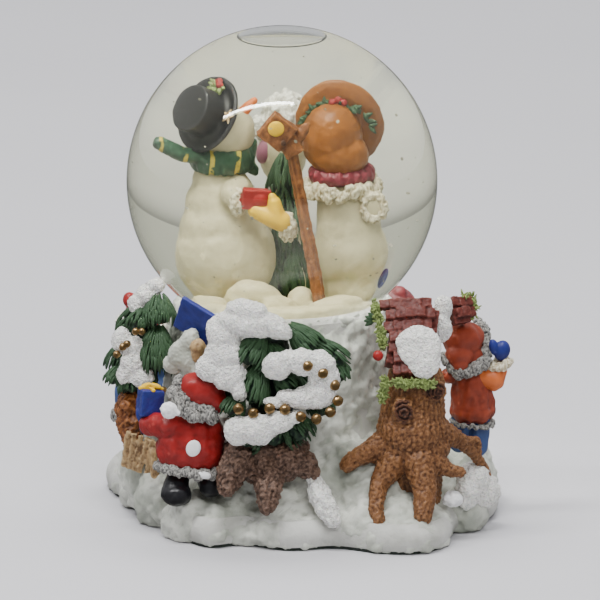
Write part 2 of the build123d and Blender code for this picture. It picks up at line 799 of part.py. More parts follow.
def make_cylinder_brackets():
    """Two bearing posts for the cylinder's shaft."""
    with BuildPart() as brackets:
        for x, half in ((1.3, 3.0), (GREAT_X + 2.2, 2.6)):
            with BuildSketch(across(x, 0, bed_top_z)):
                with Locations((0, (axis_z - bed_top_z + 1.6) / 2)):
                    Rectangle(2 * half, axis_z - bed_top_z + 1.6)
                with Locations((0, axis_z - bed_top_z)):
                    Circle(SHAFT_R + RUN, mode=Mode.SUBTRACT)
            extrude(amount=1.1)
    return save(brackets.part, "cylinder_brackets")


def make_comb():
    """Steel comb of eighteen teeth, screwed to its seat."""
    tip_y = -(CYLINDER_R + 0.45 + 0.35)
    with BuildPart() as comb:
        with BuildSketch(Plane.XY.offset(axis_z - 0.4)):
            with Locations((11, (tip_y - 16.4) / 2)):
                Rectangle(CYLINDER_LENGTH, tip_y + 16.4)
            with Locations(*[(11 + (k - 8) * 0.88, (tip_y - 11.4) / 2) for k in range(17)]):
                Rectangle(0.2, tip_y + 11.4, mode=Mode.SUBTRACT)
            with Locations((6.5, -14), (15.5, -14)):
                Circle(1.0, mode=Mode.SUBTRACT)
        extrude(amount=0.8)
    return save(comb.part, "steel_comb")


def make_comb_screws():
    """Two screws that clamp the comb, heads up."""
    with BuildPart() as screws:
        for x in (6.5, 15.5):
            with BuildSketch(Plane.XY.offset(axis_z + 0.4)):
                with Locations((x, -14)):
                    Circle(1.9)
                    Rectangle(3.8, 0.4, mode=Mode.SUBTRACT)
            extrude(amount=1.2)
            with BuildSketch(Plane.XY.offset(axis_z + 0.4)):
                with Locations((x, -14)):
                    Circle(1.9)
            extrude(amount=0.7)
            with BuildSketch(Plane.XY.offset(axis_z + 0.4)):
                with Locations((x, -14)):
                    Circle(0.9)
            extrude(amount=-4.4)
    return save(screws.part, "comb_screws")


def make_governor_frame():
    """C-shaped frame with the idler's ears and the two bearings of the fly."""
    arm_top_z = 36.4
    with BuildPart() as frame:
        with BuildSketch(Plane.XY.offset(bed_top_z)):
            with Locations((20.5, 10.9)):
                Rectangle(8.0, 7.6)
        extrude(amount=0.8)
        with BuildSketch(Plane.XY.offset(bed_top_z)):
            with Locations((17.0, worm_y)):
                Rectangle(1.4, 4.2)
        extrude(amount=arm_top_z + 1.0 - bed_top_z)
        with BuildSketch(Plane.XY.offset(arm_top_z)):
            with Locations((20.0, worm_y)):
                Rectangle(7.4, 3.2)
        extrude(amount=1.0)
        for x in (17.7, 23.3):
            with BuildSketch(across(x, idler_y, bed_top_z)):
                with Locations((0, (axis_z - bed_top_z + 1.4) / 2)):
                    Rectangle(2.2, axis_z - bed_top_z + 1.4)
            extrude(amount=1.0)
        with BuildSketch(across(16.0, idler_y, axis_z)):
            Circle(THIN_SHAFT_R + RUN)
        extrude(amount=9.0, mode=Mode.SUBTRACT)
        with BuildSketch(Plane.XY.offset(bed_top_z)):
            with Locations((worm_x, worm_y)):
                Circle(THIN_SHAFT_R + RUN)
        extrude(amount=30, mode=Mode.SUBTRACT)
    return save(frame.part, "governor_frame")


def make_governor_wheel():
    """Idler shaft with a pinion driven by the great wheel and the worm wheel."""
    with BuildPart() as idler:
        with BuildSketch(across(17.5, idler_y, axis_z)):
            Circle(THIN_SHAFT_R)
        extrude(amount=6.9)
        half_pitch = 180 / IDLER_PINION_TEETH
        spur_gear(GREAT_X - 0.1, idler_y, axis_z, 1.3, IDLER_PINION_TEETH, TRAIN_MODULE, 180 + half_pitch)
        spur_gear(worm_wheel_x, idler_y, axis_z, WORM_WHEEL_W, WORM_WHEEL_TEETH, WORM_MODULE)
    return save(idler.part, "governor_wheel")


def make_governor_fly():
    """Upright worm that carries the two-winged air brake."""
    pitch = pi * WORM_MODULE
    root_r = WORM_R - 1.1 * WORM_MODULE
    tip_r = WORM_R + 0.7 * WORM_MODULE
    half_root = 0.19 * pitch + 1.1 * WORM_MODULE * tan(radians(20))
    half_tip = 0.19 * pitch - 0.7 * WORM_MODULE * tan(radians(20))
    turns = 4
    start_z = axis_z - (turns / 2 + 0.25) * pitch  # puts a gap of the thread over the wheel's tooth
    with BuildPart() as fly:
        with BuildSketch(Plane.XY.offset(bed_top_z + 0.1)):
            with Locations((worm_x, worm_y)):
                Circle(THIN_SHAFT_R)
        extrude(amount=37.2 - bed_top_z)
        with BuildSketch(Plane.XY.offset(start_z - 0.9)):
            with Locations((worm_x, worm_y)):
                Circle(root_r)
        extrude(amount=turns * pitch + 1.8)
        with BuildLine():
            Helix(pitch=pitch, height=turns * pitch, radius=root_r - 0.08, center=(worm_x, worm_y, start_z))
        thread_start = (worm_x + root_r - 0.08, worm_y, start_z)
        crest = tip_r - root_r + 0.08
        with BuildSketch(Plane(origin=thread_start, x_dir=(1, 0, 0), z_dir=(0, -1, 0))):
            with BuildLine():
                Polyline((0, -half_root), (crest, -half_tip), (crest, half_tip), (0, half_root), close=True)
            make_face()
        sweep(is_frenet=True)
        with BuildSketch(Plane.XY.offset(FLY_Z)):
            with Locations((worm_x, worm_y)):
                Rectangle(6.6, 0.5)
                Circle(1.0)
        extrude(amount=5.2)
    return save(fly.part, "governor_fly")


def main():
    """Build and write every piece."""
    os.makedirs("parts", exist_ok=True)
    glass = make_glass()
    make_plug()
    plate = make_plate()
    snowman = make_snowman()
    lady = make_snow_lady()
    details = make_globe_details(snowman + lady)
    make_water([plate, *snowman, *lady, *details])
    envelope, _ = make_base()
    solid = [envelope, glass]
    solid += make_stump(solid)
    solid += make_front_tree(solid)
    solid += make_left_tree(solid)
    solid.append(make_beads(solid))
    solid += make_near_child("front_child", -29, -44, 13, 0.95, (-39.6, -40.4, 37.6), solid)
    solid.append(make_gift(solid))
    solid += make_near_child("right_child", 62, -17, 22, 0.95, (70, -15, 54), solid)
    solid += make_far_child("back_left_child", -44, 26, 14, 1.15, (-35, 30, 44), solid)
    solid += make_far_child("back_right_child", 36, 34, 14, 1.2, (27.5, 38.0, 45.5), solid)
    make_banks(solid)
    make_felt()
    make_cover()
    make_base_screws()
    make_bedplate()
    make_spring_housing()
    make_mainspring()
    wheel = make_drive_wheel()
    make_key(wheel)
    make_cylinder()
    make_cylinder_brackets()
    make_comb()
    make_comb_screws()
    make_governor_frame()
    make_governor_wheel()
    make_governor_fly()


main()
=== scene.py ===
"""Looks of the snow globe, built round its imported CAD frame.

Shapes are modelled in millimetres in the CAD's frame, +Z up and -Y towards the camera, and scaled to
metres when a
piece is made.
"""

import math
import random

import bmesh
import bpy
import numpy as np
from mathutils import Euler, Matrix, Vector, noise


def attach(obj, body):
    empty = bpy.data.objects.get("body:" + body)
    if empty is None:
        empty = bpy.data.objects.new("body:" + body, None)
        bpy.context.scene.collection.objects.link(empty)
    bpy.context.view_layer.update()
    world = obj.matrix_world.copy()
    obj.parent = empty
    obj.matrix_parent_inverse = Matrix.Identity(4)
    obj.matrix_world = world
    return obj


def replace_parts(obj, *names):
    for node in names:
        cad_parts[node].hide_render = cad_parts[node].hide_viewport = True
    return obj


MM = 0.001
BASE = "globe_and_base"

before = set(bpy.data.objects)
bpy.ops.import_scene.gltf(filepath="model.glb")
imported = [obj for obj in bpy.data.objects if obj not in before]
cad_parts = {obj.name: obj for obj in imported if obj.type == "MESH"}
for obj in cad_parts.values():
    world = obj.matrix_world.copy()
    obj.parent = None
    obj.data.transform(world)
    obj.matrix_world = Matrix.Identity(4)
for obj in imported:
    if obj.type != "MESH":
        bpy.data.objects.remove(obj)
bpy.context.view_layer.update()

GLOBE_Z = 108.0
GLOBE_R = 50.0
INNER_R = 48.4
NECK_R = 31.0
NECK_BORE_R = 29.4
NECK_END_Z = 60.7
GROUND_Z = 76.0
BUBBLE_R = 13.9
DRUM_BORE_R = 33.6
DRUM_RIM_Z = 70.0
BANK_TOP_Z = 30.0
BANK_FOOT_Z = 0.3
OUTLINE_POINTS = 240

POLE_R = 1e-6
SNOW_VOXEL = 0.4
NOISE_FADE = 1.0
NOISE_STEP = 2.0
NOISE_OCTAVES = 3


# ---------------------------------------------------------------- modelling helpers
class Clay:
    """Closed forms pressed together, which become one smooth skin when they are fired."""

    def __init__(self):
        self.points = []
        self.faces = []
        self.count = 0

    def add(self, points, faces):
        self.points.append(points)
        self.faces += [tuple(i + self.count for i in face) for face in faces]
        self.count += len(points)
        return self

    def add_mesh(self, mesh):
        points = np.array([v.co[:] for v in mesh.vertices])
        return self.add(points, [tuple(p.vertices) for p in mesh.polygons])

    def ball(self, centre, radii, turn=(0, 0, 0)):
        """Ellipsoid; radii is one number or three, and turn is in degrees."""
        size = (radii,) * 3 if isinstance(radii, (int, float)) else radii
        spin = np.array(Euler([math.radians(a) for a in turn]).to_matrix())
        return self.add((BALL_POINTS * np.array(size)) @ spin.T + np.array(centre), BALL_FACES)

    def limb(self, start, end, start_r, end_r, segments=20):
        """Tapered limb with round ends."""
        self.add(*tube_form([(Vector(start), start_r), (Vector(end), end_r)], segments))
        self.ball(start, start_r)
        return self.ball(end, end_r)

    def path(self, points):
        """Chain of limbs through (point, radius) pairs."""
        for (start, start_r), (end, end_r) in zip(points, points[1:]):
            self.limb(start, end, start_r, end_r)
        return self

    def slab(self, centre, size, turn=(0, 0, 0)):
        """Box of the given full size."""
        spin = np.array(Euler([math.radians(a) for a in turn]).to_matrix())
        return self.add((CUBE_POINTS * np.array(size)) @ spin.T + np.array(centre), CUBE_FACES)

    def fire(self, voxel, smooth):
        """One closed mesh, in millimetres, from everything pressed in so far."""
        mesh = bpy.data.meshes.new("clay")
        mesh.from_pydata(np.concatenate(self.points).tolist(), [], self.faces)
        obj = bpy.data.objects.new("clay", mesh)
        bpy.context.scene.collection.objects.link(obj)
        remesh = obj.modifiers.new("skin", "REMESH")
        remesh.mode = "VOXEL"
        remesh.voxel_size = voxel
        relax = obj.modifiers.new("relax", "SMOOTH")
        relax.factor = 0.5
        relax.iterations = smooth
        seen = obj.evaluated_get(bpy.context.evaluated_depsgraph_get())
        skin = bpy.data.meshes.new_from_object(seen)
        bpy.data.objects.remove(obj)
        bpy.data.meshes.remove(mesh)
        return skin


def roughen(mesh, amount, scale, seed):
    """Push the vertices along their normals by smooth noise; amount and scale are in millimetres."""
    shift = Vector((seed, seed * 1.7, seed * 0.6))
    normals = [v.normal.copy() for v in mesh.vertices]
    for v, normal in zip(mesh.vertices, normals):
        height = noise.fractal(v.co / scale + shift, NOISE_FADE, NOISE_STEP, NOISE_OCTAVES)
        v.co += normal * height * amount
    return mesh


def carve(mesh, depth_at):
    """Push each vertex along its normal by depth_at(position), in millimetres."""
    moves = [(v, v.normal.copy(), depth_at(v.co)) for v in mesh.vertices]
    for v, normal, depth in moves:
        v.co += normal * depth
    return mesh


def piece(name, mesh, material, smooth=True):
    """Object from a mesh in millimetres that rides on the base and globe."""
    mesh.transform(Matrix.Scale(MM, 4))
    mesh.materials.clear()
    mesh.materials.append(material)
    if smooth:
        mesh.shade_smooth()
    else:
        mesh.shade_flat()
    obj = bpy.data.objects.new(name, mesh)
    mesh.name = name
    bpy.context.scene.collection.objects.link(obj)
    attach(obj, BASE)
    return obj


def cast(name, clay, firing, material, rough=None):
    """Piece from clay: firing is what Clay.fire takes, and rough is what roughen takes after the mesh."""
    skin = clay.fire(*firing)
    if rough:
        roughen(skin, *rough)
    return piece(name, skin, material)


def turns(count):
    """Angles of even steps round a whole circle."""
    return [math.tau * k / count for k in range(count)]


def lathe(name, profile, segments):
    """Mesh turned about a vertical axis from (radius, height) points."""
    bm = bmesh.new()
    rings = []
    for radius, height in profile:
        if radius < POLE_R:
            rings.append([bm.verts.new((0, 0, height))])
        else:
            circle = [(radius * math.cos(turn), radius * math.sin(turn), height) for turn in turns(segments)]
            rings.append([bm.verts.new(point) for point in circle])
    for low, high in zip(rings, rings[1:]):
        for k in range(segments):
            after = (k + 1) % segments
            if len(low) == 1 and len(high) == 1:
                continue
            if len(low) == 1:
                bm.faces.new((low[0], high[after], high[k]))
            elif len(high) == 1:
                bm.faces.new((low[k], low[after], high[0]))
            else:
                bm.faces.new((low[k], low[after], high[after], high[k]))
    bmesh.ops.recalc_face_normals(bm, faces=bm.faces)
    mesh = bpy.data.meshes.new(name)
    bm.to_mesh(mesh)
    bm.free()
    return mesh


def spindles(name, lines, sides=5):
    """Mesh of thin tubes, each through its (point, radius) pairs."""
    points = []
    faces = []
    count = 0
    for line in lines:
        line_points, line_faces = tube_form([(Vector(p), r) for p, r in line], sides)
        points.append(line_points)
        faces += [tuple(i + count for i in face) for face in line_faces]
        count += len(line_points)
    mesh = bpy.data.meshes.new(name)
    mesh.from_pydata(np.concatenate(points).tolist(), [], faces)
    return mesh


# ---------------------------------------------------------------- materials
class Shader:
    """A node material under construction, with its Principled shader."""

    def __init__(self, name):
        self.material = bpy.data.materials.new(name)
        self.material.use_nodes = True
        self.tree = self.material.node_tree
        self.bsdf = self.tree.nodes["Principled BSDF"]
        self.coords = self.tree.nodes.new("ShaderNodeTexCoord").outputs["Object"]

    def node(self, kind, **inputs):
        made = self.tree.nodes.new(kind)
        for socket, value in inputs.items():
            made.inputs[socket.replace("_", " ")].default_value = value
        return made

    def link(self, source, target):
        self.tree.links.new(source, target)

    def noise(self, scale_mm, detail=3.0, stretch=(1, 1, 1)):
        """Noise whose features are about scale_mm wide."""
        mapping = self.node("ShaderNodeMapping", Scale=tuple(s * 1000.0 / scale_mm for s in stretch))
        self.link(self.coords, mapping.inputs["Vector"])
        made = self.node("ShaderNodeTexNoise", Scale=1.0, Detail=detail)
        self.link(mapping.outputs["Vector"], made.inputs["Vector"])
        return made.outputs["Fac"]

    def cells(self, scale_mm, output="Distance"):
        """Voronoi cells about scale_mm wide."""
        made = self.node("ShaderNodeTexVoronoi", Scale=1000.0 / scale_mm)
        self.link(self.coords, made.inputs["Vector"])
        return made.outputs[output]

    def crevices(self):
        """Pointiness: low in hollows and high on ridges, used to place painted shade and painted highlights."""
        return self.tree.nodes.new("ShaderNodeNewGeometry").outputs["Pointiness"]

    def ramp(self, source, stops):
        """Colour ramp over (position, colour) stops; a colour is three numbers or one grey."""
        made = self.tree.nodes.new("ShaderNodeValToRGB")
        points = made.color_ramp.elements
        while len(points) < len(stops):
            points.new(0.5)
        for point, (position, colour) in zip(points, stops):
            point.position = position
            point.color = (*colour, 1) if isinstance(colour, tuple) else (colour, colour, colour, 1)
        self.link(source, made.inputs["Fac"])
        return made.outputs["Color"]

    def mix(self, low, high, factor, mode="MIX"):
        """Mix two colours; each is an output or three numbers."""
        made = self.tree.nodes.new("ShaderNodeMix")
        made.data_type = "RGBA"
        made.blend_type = mode
        for side, value in (("A", low), ("B", high)):
            target = [s for s in made.inputs if s.name == side and s.type == "RGBA"][0]
            if isinstance(value, tuple):
                target.default_value = (*value, 1)
            else:
                self.link(value, target)
        share = [s for s in made.inputs if s.name == "Factor" and s.type == "VALUE"][0]
        if isinstance(factor, (int, float)):
            share.default_value = factor
        else:
            self.link(factor, share)
        return [s for s in made.outputs if s.type == "RGBA"][0]

    def bump(self, height, depth_mm, strength=1.0, after=None):
        """Bump from a height output, chained onto an earlier bump."""
        made = self.node("ShaderNodeBump", Strength=strength, Distance=depth_mm * MM)
        self.link(height, made.inputs["Height"])
        if after:
            self.link(after, made.inputs["Normal"])
        return made.outputs["Normal"]

    def finish(self, colour, normal=None, roughness=0.5, metallic=0.0, coat=0.0):
        if isinstance(colour, tuple):
            self.bsdf.inputs["Base Color"].default_value = (*colour, 1)
        else:
            self.link(colour, self.bsdf.inputs["Base Color"])
        if normal:
            self.link(normal, self.bsdf.inputs["Normal"])
        if isinstance(roughness, (int, float)):
            self.bsdf.inputs["Roughness"].default_value = roughness
        else:
            self.link(roughness, self.bsdf.inputs["Roughness"])
        self.bsdf.inputs["Metallic"].default_value = metallic
        self.bsdf.inputs["Coat Weight"].default_value = coat
        self.bsdf.inputs["Coat Roughness"].default_value = 0.15
        return self.material


def painted(name, colour, dark, hollow_shade=0.9, grain_mm=0.5, gloss=0.45, mottled=0.35, ridge_highlight=None):
    """Hand-painted resin: painted shade darkens the hollows and painted highlights lighten the ridges, with brush
    mottling and fine grain.
    """
    s = Shader(name)
    # ridge highlight colour, a painted highlight; by default a lighter copy of the colour
    ridge_highlight = ridge_highlight or tuple(min(1.0, c * 1.35 + 0.03) for c in colour)
    patches = s.ramp(s.noise(3.5, 4.0), [(0.3, dark), (0.62, colour)])
    base = s.mix(colour, patches, mottled)
    # painted shade in the hollows and painted highlights on the ridges, both placed by pointiness
    hollow = s.ramp(s.crevices(), [(0.44, 1.0), (0.5, 0.0)])
    ridge = s.ramp(s.crevices(), [(0.51, 0.0), (0.58, 0.6)])
    painted_shading = s.mix(base, dark, s.mix((0.0, 0.0, 0.0), hollow, hollow_shade))
    highlighted = s.mix(painted_shading, ridge_highlight, ridge)
    normal = s.bump(s.noise(grain_mm, 3.0), 0.1, 0.6)
    rough = s.ramp(s.noise(1.6), [(0.3, gloss), (0.7, min(1.0, gloss + 0.2))])
    return s.finish(highlighted, normal, rough)


def snow_paint(name, colour, shade, speck=0.35):
    """Off-white painted resin with grey-green shading, tiny dark specks and a fine rough grain."""
    s = Shader(name)
    broad = s.ramp(s.noise(14.0, 4.0), [(0.35, shade), (0.6, colour)])
    hollow = s.ramp(s.crevices(), [(0.42, 1.0), (0.5, 0.0)])
    shaded = s.mix(broad, shade, hollow)
    dust = s.ramp(s.noise(0.55, 2.0), [(0.66, 0.0), (0.75, speck)])
    specked = s.mix(shaded, (0.33, 0.34, 0.28), dust)
    grain = s.bump(s.noise(0.7, 4.0), 0.22, 0.7)
    normal = s.bump(s.noise(3.5, 3.0), 0.5, 0.5, grain)
    rough = s.ramp(s.noise(2.0), [(0.3, 0.42), (0.7, 0.62)])
    return s.finish(specked, normal, rough)


def glitter(name):
    """Off-white paint crusted with fine flakes, with painted glints: bright dots painted into the colour."""
    s = Shader(name)
    flakes = s.cells(0.6, "Color")
    pale = s.mix((0.88, 0.87, 0.82), flakes, 0.06)
    crust = s.ramp(s.noise(0.9, 5.0), [(0.3, 0.66), (0.48, 0.92), (0.6, 1.0)])
    shaded = s.mix(pale, crust, 0.85, "MULTIPLY")
    # painted glints: near-white dots where the flakes would sparkle in the light
    painted_glints = s.ramp(s.cells(0.8), [(0.1, 1.0), (0.2, 0.0)])
    colour = s.mix(shaded, (1.0, 0.99, 0.96), painted_glints)
    facets = s.bump(s.cells(0.6), 0.45, 1.0)
    normal = s.bump(s.noise(1.0, 4.0), 0.7, 0.9, facets)
    rough = s.ramp(flakes, [(0.2, 0.15), (0.7, 0.6)])
    return s.finish(colour, normal, rough, coat=0.3)


def furry(name, colour, dark, scale_mm=0.7):
    """Stippled fur trim: light tufts over dark, with painted shade in the hollows."""
    s = Shader(name)
    tufts = s.noise(scale_mm, 2.0, (1.0, 1.0, 0.45))
    # painted shade: pointiness darkens the hollows between tufts
    hollow = s.ramp(s.crevices(), [(0.45, 0.0), (0.53, 1.0)])
    streaks = s.ramp(tufts, [(0.42, 0.0), (0.56, 1.0)])
    both = s.mix(hollow, streaks, 0.6)
    base = s.mix(dark, colour, both)
    normal = s.bump(tufts, 0.5, 1.0)
    return s.finish(base, normal, 0.6)


def bark(name, colour, dark, light, scale_mm=0.9, depth=0.9):
    """Stippled bark: dark pits and broad stains, with painted shade in the hollows and painted highlights on the
    ridges.
    """
    s = Shader(name)
    pits = s.noise(scale_mm, 6.0, (1.0, 1.0, 0.6))
    patches = s.ramp(pits, [(0.34, dark), (0.48, colour), (0.56, colour), (0.7, light)])
    stains = s.ramp(s.noise(5.0, 3.0), [(0.38, dark), (0.55, colour)])
    aged = s.mix(patches, stains, 0.3)
    # painted shade in the hollows and painted highlights on the ridges, placed by pointiness
    hollow = s.ramp(s.crevices(), [(0.44, 1.0), (0.505, 0.0)])
    ridge = s.ramp(s.crevices(), [(0.51, 0.0), (0.57, 0.7)])
    painted_shading = s.mix(s.mix(aged, dark, hollow), light, ridge)
    normal = s.bump(pits, 0.5, depth)
    return s.finish(painted_shading, normal, s.ramp(pits, [(0.3, 0.6), (0.7, 0.4)]))


def metal(name, colour, roughness=0.3, grain_mm=0.6, metallic=1.0):
    """Machined metal with a faint directional grain."""
    s = Shader(name)
    streak = s.noise(grain_mm, 3.0, (0.15, 1.0, 1.0))
    dark = tuple(c * 0.8 for c in colour)
    tint = s.mix(colour, s.ramp(streak, [(0.35, dark), (0.65, colour)]), 0.6)
    normal = s.bump(streak, 0.02, 0.4)
    rough = s.ramp(streak, [(0.3, roughness), (0.7, min(1.0, roughness + 0.15))])
    return s.finish(tint, normal, rough, metallic=metallic)


def striped(name, ground, band, dark):
    """Painted cloth with a few broken bands across it, and painted shade in its hollows."""
    s = Shader(name)
    wave = s.node("ShaderNodeTexWave", Scale=44.0, Distortion=3.0)
    wave.wave_type = "BANDS"
    wave.bands_direction = "X"
    s.link(s.coords, wave.inputs["Vector"])
    stripe = s.ramp(wave.outputs["Fac"], [(0.9, 0.0), (0.94, 1.0)])
    broken = s.ramp(s.noise(2.2, 2.0), [(0.42, 0.0), (0.5, 1.0)])
    bands = s.mix(ground, s.mix(ground, band, broken), stripe)
    # painted shade: pointiness darkens the hollows
    hollow = s.ramp(s.crevices(), [(0.43, 1.0), (0.5, 0.0)])
    return s.finish(s.mix(bands, dark, hollow), s.bump(s.noise(0.5), 0.15, 0.6), 0.4)


def clear(name, ior, tint):
    """Clear glass or liquid."""
    material = bpy.data.materials.new(name)
    material.use_nodes = True
    tree = material.node_tree
    tree.nodes.remove(tree.nodes["Principled BSDF"])
    glass = tree.nodes.new("ShaderNodeBsdfGlass")
    glass.inputs["Color"].default_value = (*tint, 1)
    glass.inputs["Roughness"].default_value = 0.0
    glass.inputs["IOR"].default_value = ior
    tree.links.new(glass.outputs["BSDF"], tree.nodes["Material Output"].inputs["Surface"])
    return material


SNOW = snow_paint("snow_resin", (0.64, 0.65, 0.58), (0.36, 0.38, 0.32))
DRUM = snow_paint("pedestal_resin", (0.62, 0.62, 0.58), (0.42, 0.42, 0.38), speck=0.2)
GLITTER = glitter("glitter_snow")
CREAM = painted("cream_resin", (0.6, 0.55, 0.37), (0.34, 0.29, 0.16), gloss=0.35, mottled=0.3)
INNER_SNOW = painted("inner_snow", (0.62, 0.56, 0.36), (0.34, 0.29, 0.15), gloss=0.4, mottled=0.4)
BLACK = painted(
    "black_enamel", (0.01, 0.01, 0.012), (0.005, 0.005, 0.006), gloss=0.32, ridge_highlight=(0.04, 0.04, 0.045)
)
RED = painted("red_enamel", (0.29, 0.012, 0.011), (0.08, 0.004, 0.003), gloss=0.32, ridge_highlight=(0.42, 0.05, 0.04))
RUST = painted("rust_enamel", (0.27, 0.042, 0.018), (0.07, 0.01, 0.008), gloss=0.35, ridge_highlight=(0.45, 0.1, 0.04))
DARK_RED = painted("dark_red_enamel", (0.15, 0.02, 0.022), (0.05, 0.007, 0.008), gloss=0.35)
BLUE = painted("blue_enamel", (0.014, 0.024, 0.19), (0.005, 0.009, 0.06), gloss=0.35)
DENIM = painted("denim_paint", (0.045, 0.085, 0.23), (0.012, 0.025, 0.08), gloss=0.45, ridge_highlight=(0.12, 0.2, 0.4))
GREEN = painted(
    "green_paint", (0.006, 0.02, 0.012), (0.0015, 0.004, 0.003), gloss=0.5, ridge_highlight=(0.05, 0.11, 0.045)
)
MOSS = painted(
    "moss_paint", (0.07, 0.11, 0.022), (0.008, 0.02, 0.008), gloss=0.5, grain_mm=0.4, ridge_highlight=(0.3, 0.38, 0.12)
)
YELLOW = painted("yellow_paint", (0.82, 0.5, 0.004), (0.45, 0.22, 0.003), gloss=0.35, ridge_highlight=(0.9, 0.65, 0.03))
STRAW = painted("straw_paint", (0.27, 0.09, 0.012), (0.11, 0.03, 0.005), gloss=0.3, ridge_highlight=(0.42, 0.17, 0.04))
CARROT = painted("carrot_paint", (0.6, 0.14, 0.02), (0.3, 0.05, 0.01), gloss=0.3)
POST = bark("post_paint", (0.2, 0.066, 0.016), (0.09, 0.026, 0.008), (0.36, 0.14, 0.04), 1.1, 0.6)
TAN = bark("tan_wood", (0.42, 0.27, 0.12), (0.15, 0.08, 0.035), (0.58, 0.42, 0.22), 1.2, 0.8)
BROWN_BARK = bark("brown_bark", (0.125, 0.07, 0.046), (0.045, 0.026, 0.018), (0.25, 0.155, 0.11), 0.42, 0.9)
STUMP_BARK = bark("stump_bark", (0.19, 0.078, 0.026), (0.07, 0.027, 0.011), (0.32, 0.155, 0.06), 0.5, 0.7)
BRICK = painted(
    "shingle_paint",
    (0.12, 0.022, 0.015),
    (0.02, 0.005, 0.004),
    gloss=0.45,
    grain_mm=0.35,
    ridge_highlight=(0.25, 0.075, 0.055),
)
GREY_FUR = furry("grey_fur", (0.36, 0.35, 0.32), (0.02, 0.02, 0.024), 0.55)
CREAM_FUR = furry("cream_fur", (0.8, 0.75, 0.58), (0.36, 0.28, 0.14))
WHITE_FUR = furry("white_fur", (0.85, 0.84, 0.78), (0.5, 0.48, 0.4))
WHITE = painted("white_enamel", (0.8, 0.8, 0.8), (0.5, 0.5, 0.5), gloss=0.35, mottled=0.15)
SKIN = painted("skin_paint", (0.68, 0.42, 0.3), (0.45, 0.2, 0.13), gloss=0.4, mottled=0.15)
GOLD = metal("gilt_bead", (0.42, 0.27, 0.12), 0.25, 0.5)
BRASS = metal("brass", (0.72, 0.52, 0.22), 0.28)
STEEL = metal("nickel_steel", (0.62, 0.63, 0.65), 0.25)
SPRING = metal("blued_steel", (0.2, 0.24, 0.34), 0.3)
ZINC = metal("zinc_casting", (0.42, 0.42, 0.43), 0.5, 1.2, 0.8)
RUBBER = painted("stopper_rubber", (0.7, 0.7, 0.66), (0.5, 0.5, 0.46), gloss=0.6, mottled=0.2)
COVER = painted("cover_plastic", (0.68, 0.68, 0.63), (0.5, 0.5, 0.45), gloss=0.4, mottled=0.15)
ACETAL = painted("white_acetal", (0.78, 0.78, 0.75), (0.55, 0.55, 0.52), gloss=0.35, mottled=0.1)
FELT = painted("felt_cloth", (0.02, 0.028, 0.022), (0.012, 0.016, 0.013), gloss=0.9)
PLUM = painted("plum_enamel", (0.2, 0.02, 0.035), (0.07, 0.008, 0.012), gloss=0.35)
MAUVE = painted("mauve_enamel", (0.36, 0.13, 0.2), (0.14, 0.05, 0.08), gloss=0.35)
FLAKE = painted("flake_foil", (0.2, 0.19, 0.15), (0.08, 0.07, 0.05), gloss=0.3)
ORANGE = painted("orange_enamel", (0.55, 0.13, 0.03), (0.25, 0.04, 0.01), gloss=0.35)
KNOT = bark("knot_paint", (0.06, 0.02, 0.009), (0.016, 0.006, 0.004), (0.15, 0.06, 0.03), 0.8, 0.9)
# dark tint stands in for the dark line a meniscus shows: painted shade
MENISCUS_SHADE = clear("meniscus", 1.15, (0.3, 0.31, 0.28))
STRIPES = striped("scarf_cloth", (0.026, 0.075, 0.04), (0.55, 0.43, 0.05), (0.008, 0.025, 0.014))
GLASS = clear("clear_glass", 1.47, (0.995, 1.0, 0.99))
WATER = clear("globe_liquid", 1.333, (0.965, 0.96, 0.855))


# ---------------------------------------------------------------- globe
def arc(radius, start_z, end_z, steps):
    """(radius, height) points on the ball from one height to another, passing its equator."""
    low = math.acos(max(-1.0, min(1.0, (start_z - GLOBE_Z) / radius)))
    high = math.acos(max(-1.0, min(1.0, (end_z - GLOBE_Z) / radius)))
    turns = [low + (high - low) * k / steps for k in range(steps + 1)]
    return [(radius * math.sin(t), GLOBE_Z + radius * math.cos(t)) for t in turns]


def make_globe():
    neck_top = GLOBE_Z - math.sqrt(GLOBE_R**2 - NECK_R**2)
    inner_top = GLOBE_Z - math.sqrt(INNER_R**2 - NECK_BORE_R**2)
    outer = arc(GLOBE_R, GLOBE_Z + GLOBE_R, neck_top, 128)
    inner = arc(INNER_R, inner_top, GLOBE_Z + INNER_R, 128)
    profile = outer + [(NECK_R, NECK_END_Z), (NECK_BORE_R, NECK_END_Z)] + inner
    profile[0] = (0, GLOBE_Z + GLOBE_R)
    profile[-1] = (0, GLOBE_Z + INNER_R)
    glass = piece("globe_glass", lathe("globe_glass", profile, 256), GLASS)
    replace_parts(glass, "glass_globe")
    glass.visible_shadow = False

    liquid_r = INNER_R + 0.08
    edge_z = GLOBE_Z + math.sqrt(liquid_r**2 - BUBBLE_R**2)
    surface_z = edge_z - 0.25
    bore_r = NECK_BORE_R + 0.05
    joint_z = GLOBE_Z - math.sqrt(liquid_r**2 - bore_r**2)
    skin = arc(liquid_r, edge_z, joint_z, 128)
    meniscus = ((0, 0.0), (12.0, 0.0), (12.9, 0.1), (13.4, 0.24), (13.7, 0.4))
    lip = [(radius, surface_z + rise) for radius, rise in meniscus]
    profile = lip + skin + [(bore_r, GROUND_Z - 9.0), (0, GROUND_Z - 9.0)]
    water = piece("globe_liquid", lathe("globe_liquid", profile, 256), WATER)
    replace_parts(water, "globe_water")
    water.visible_shadow = False


def make_bubble_rim():
    """Meniscus where the liquid meets the glass round the air bubble, as a dark-tinted clear ring: a line of painted
    shade.
    """
    wet_r = 13.5
    wet_z = GLOBE_Z + math.sqrt(47.5**2 - BUBBLE_R**2) + 0.1
    profile = [(wet_r + 0.28 * math.cos(turn), wet_z + 0.34 * math.sin(turn)) for turn in turns(12)]
    rim = lathe("bubble_rim", profile + profile[:1], 96)
    piece("bubble_rim", rim, MENISCUS_SHADE)


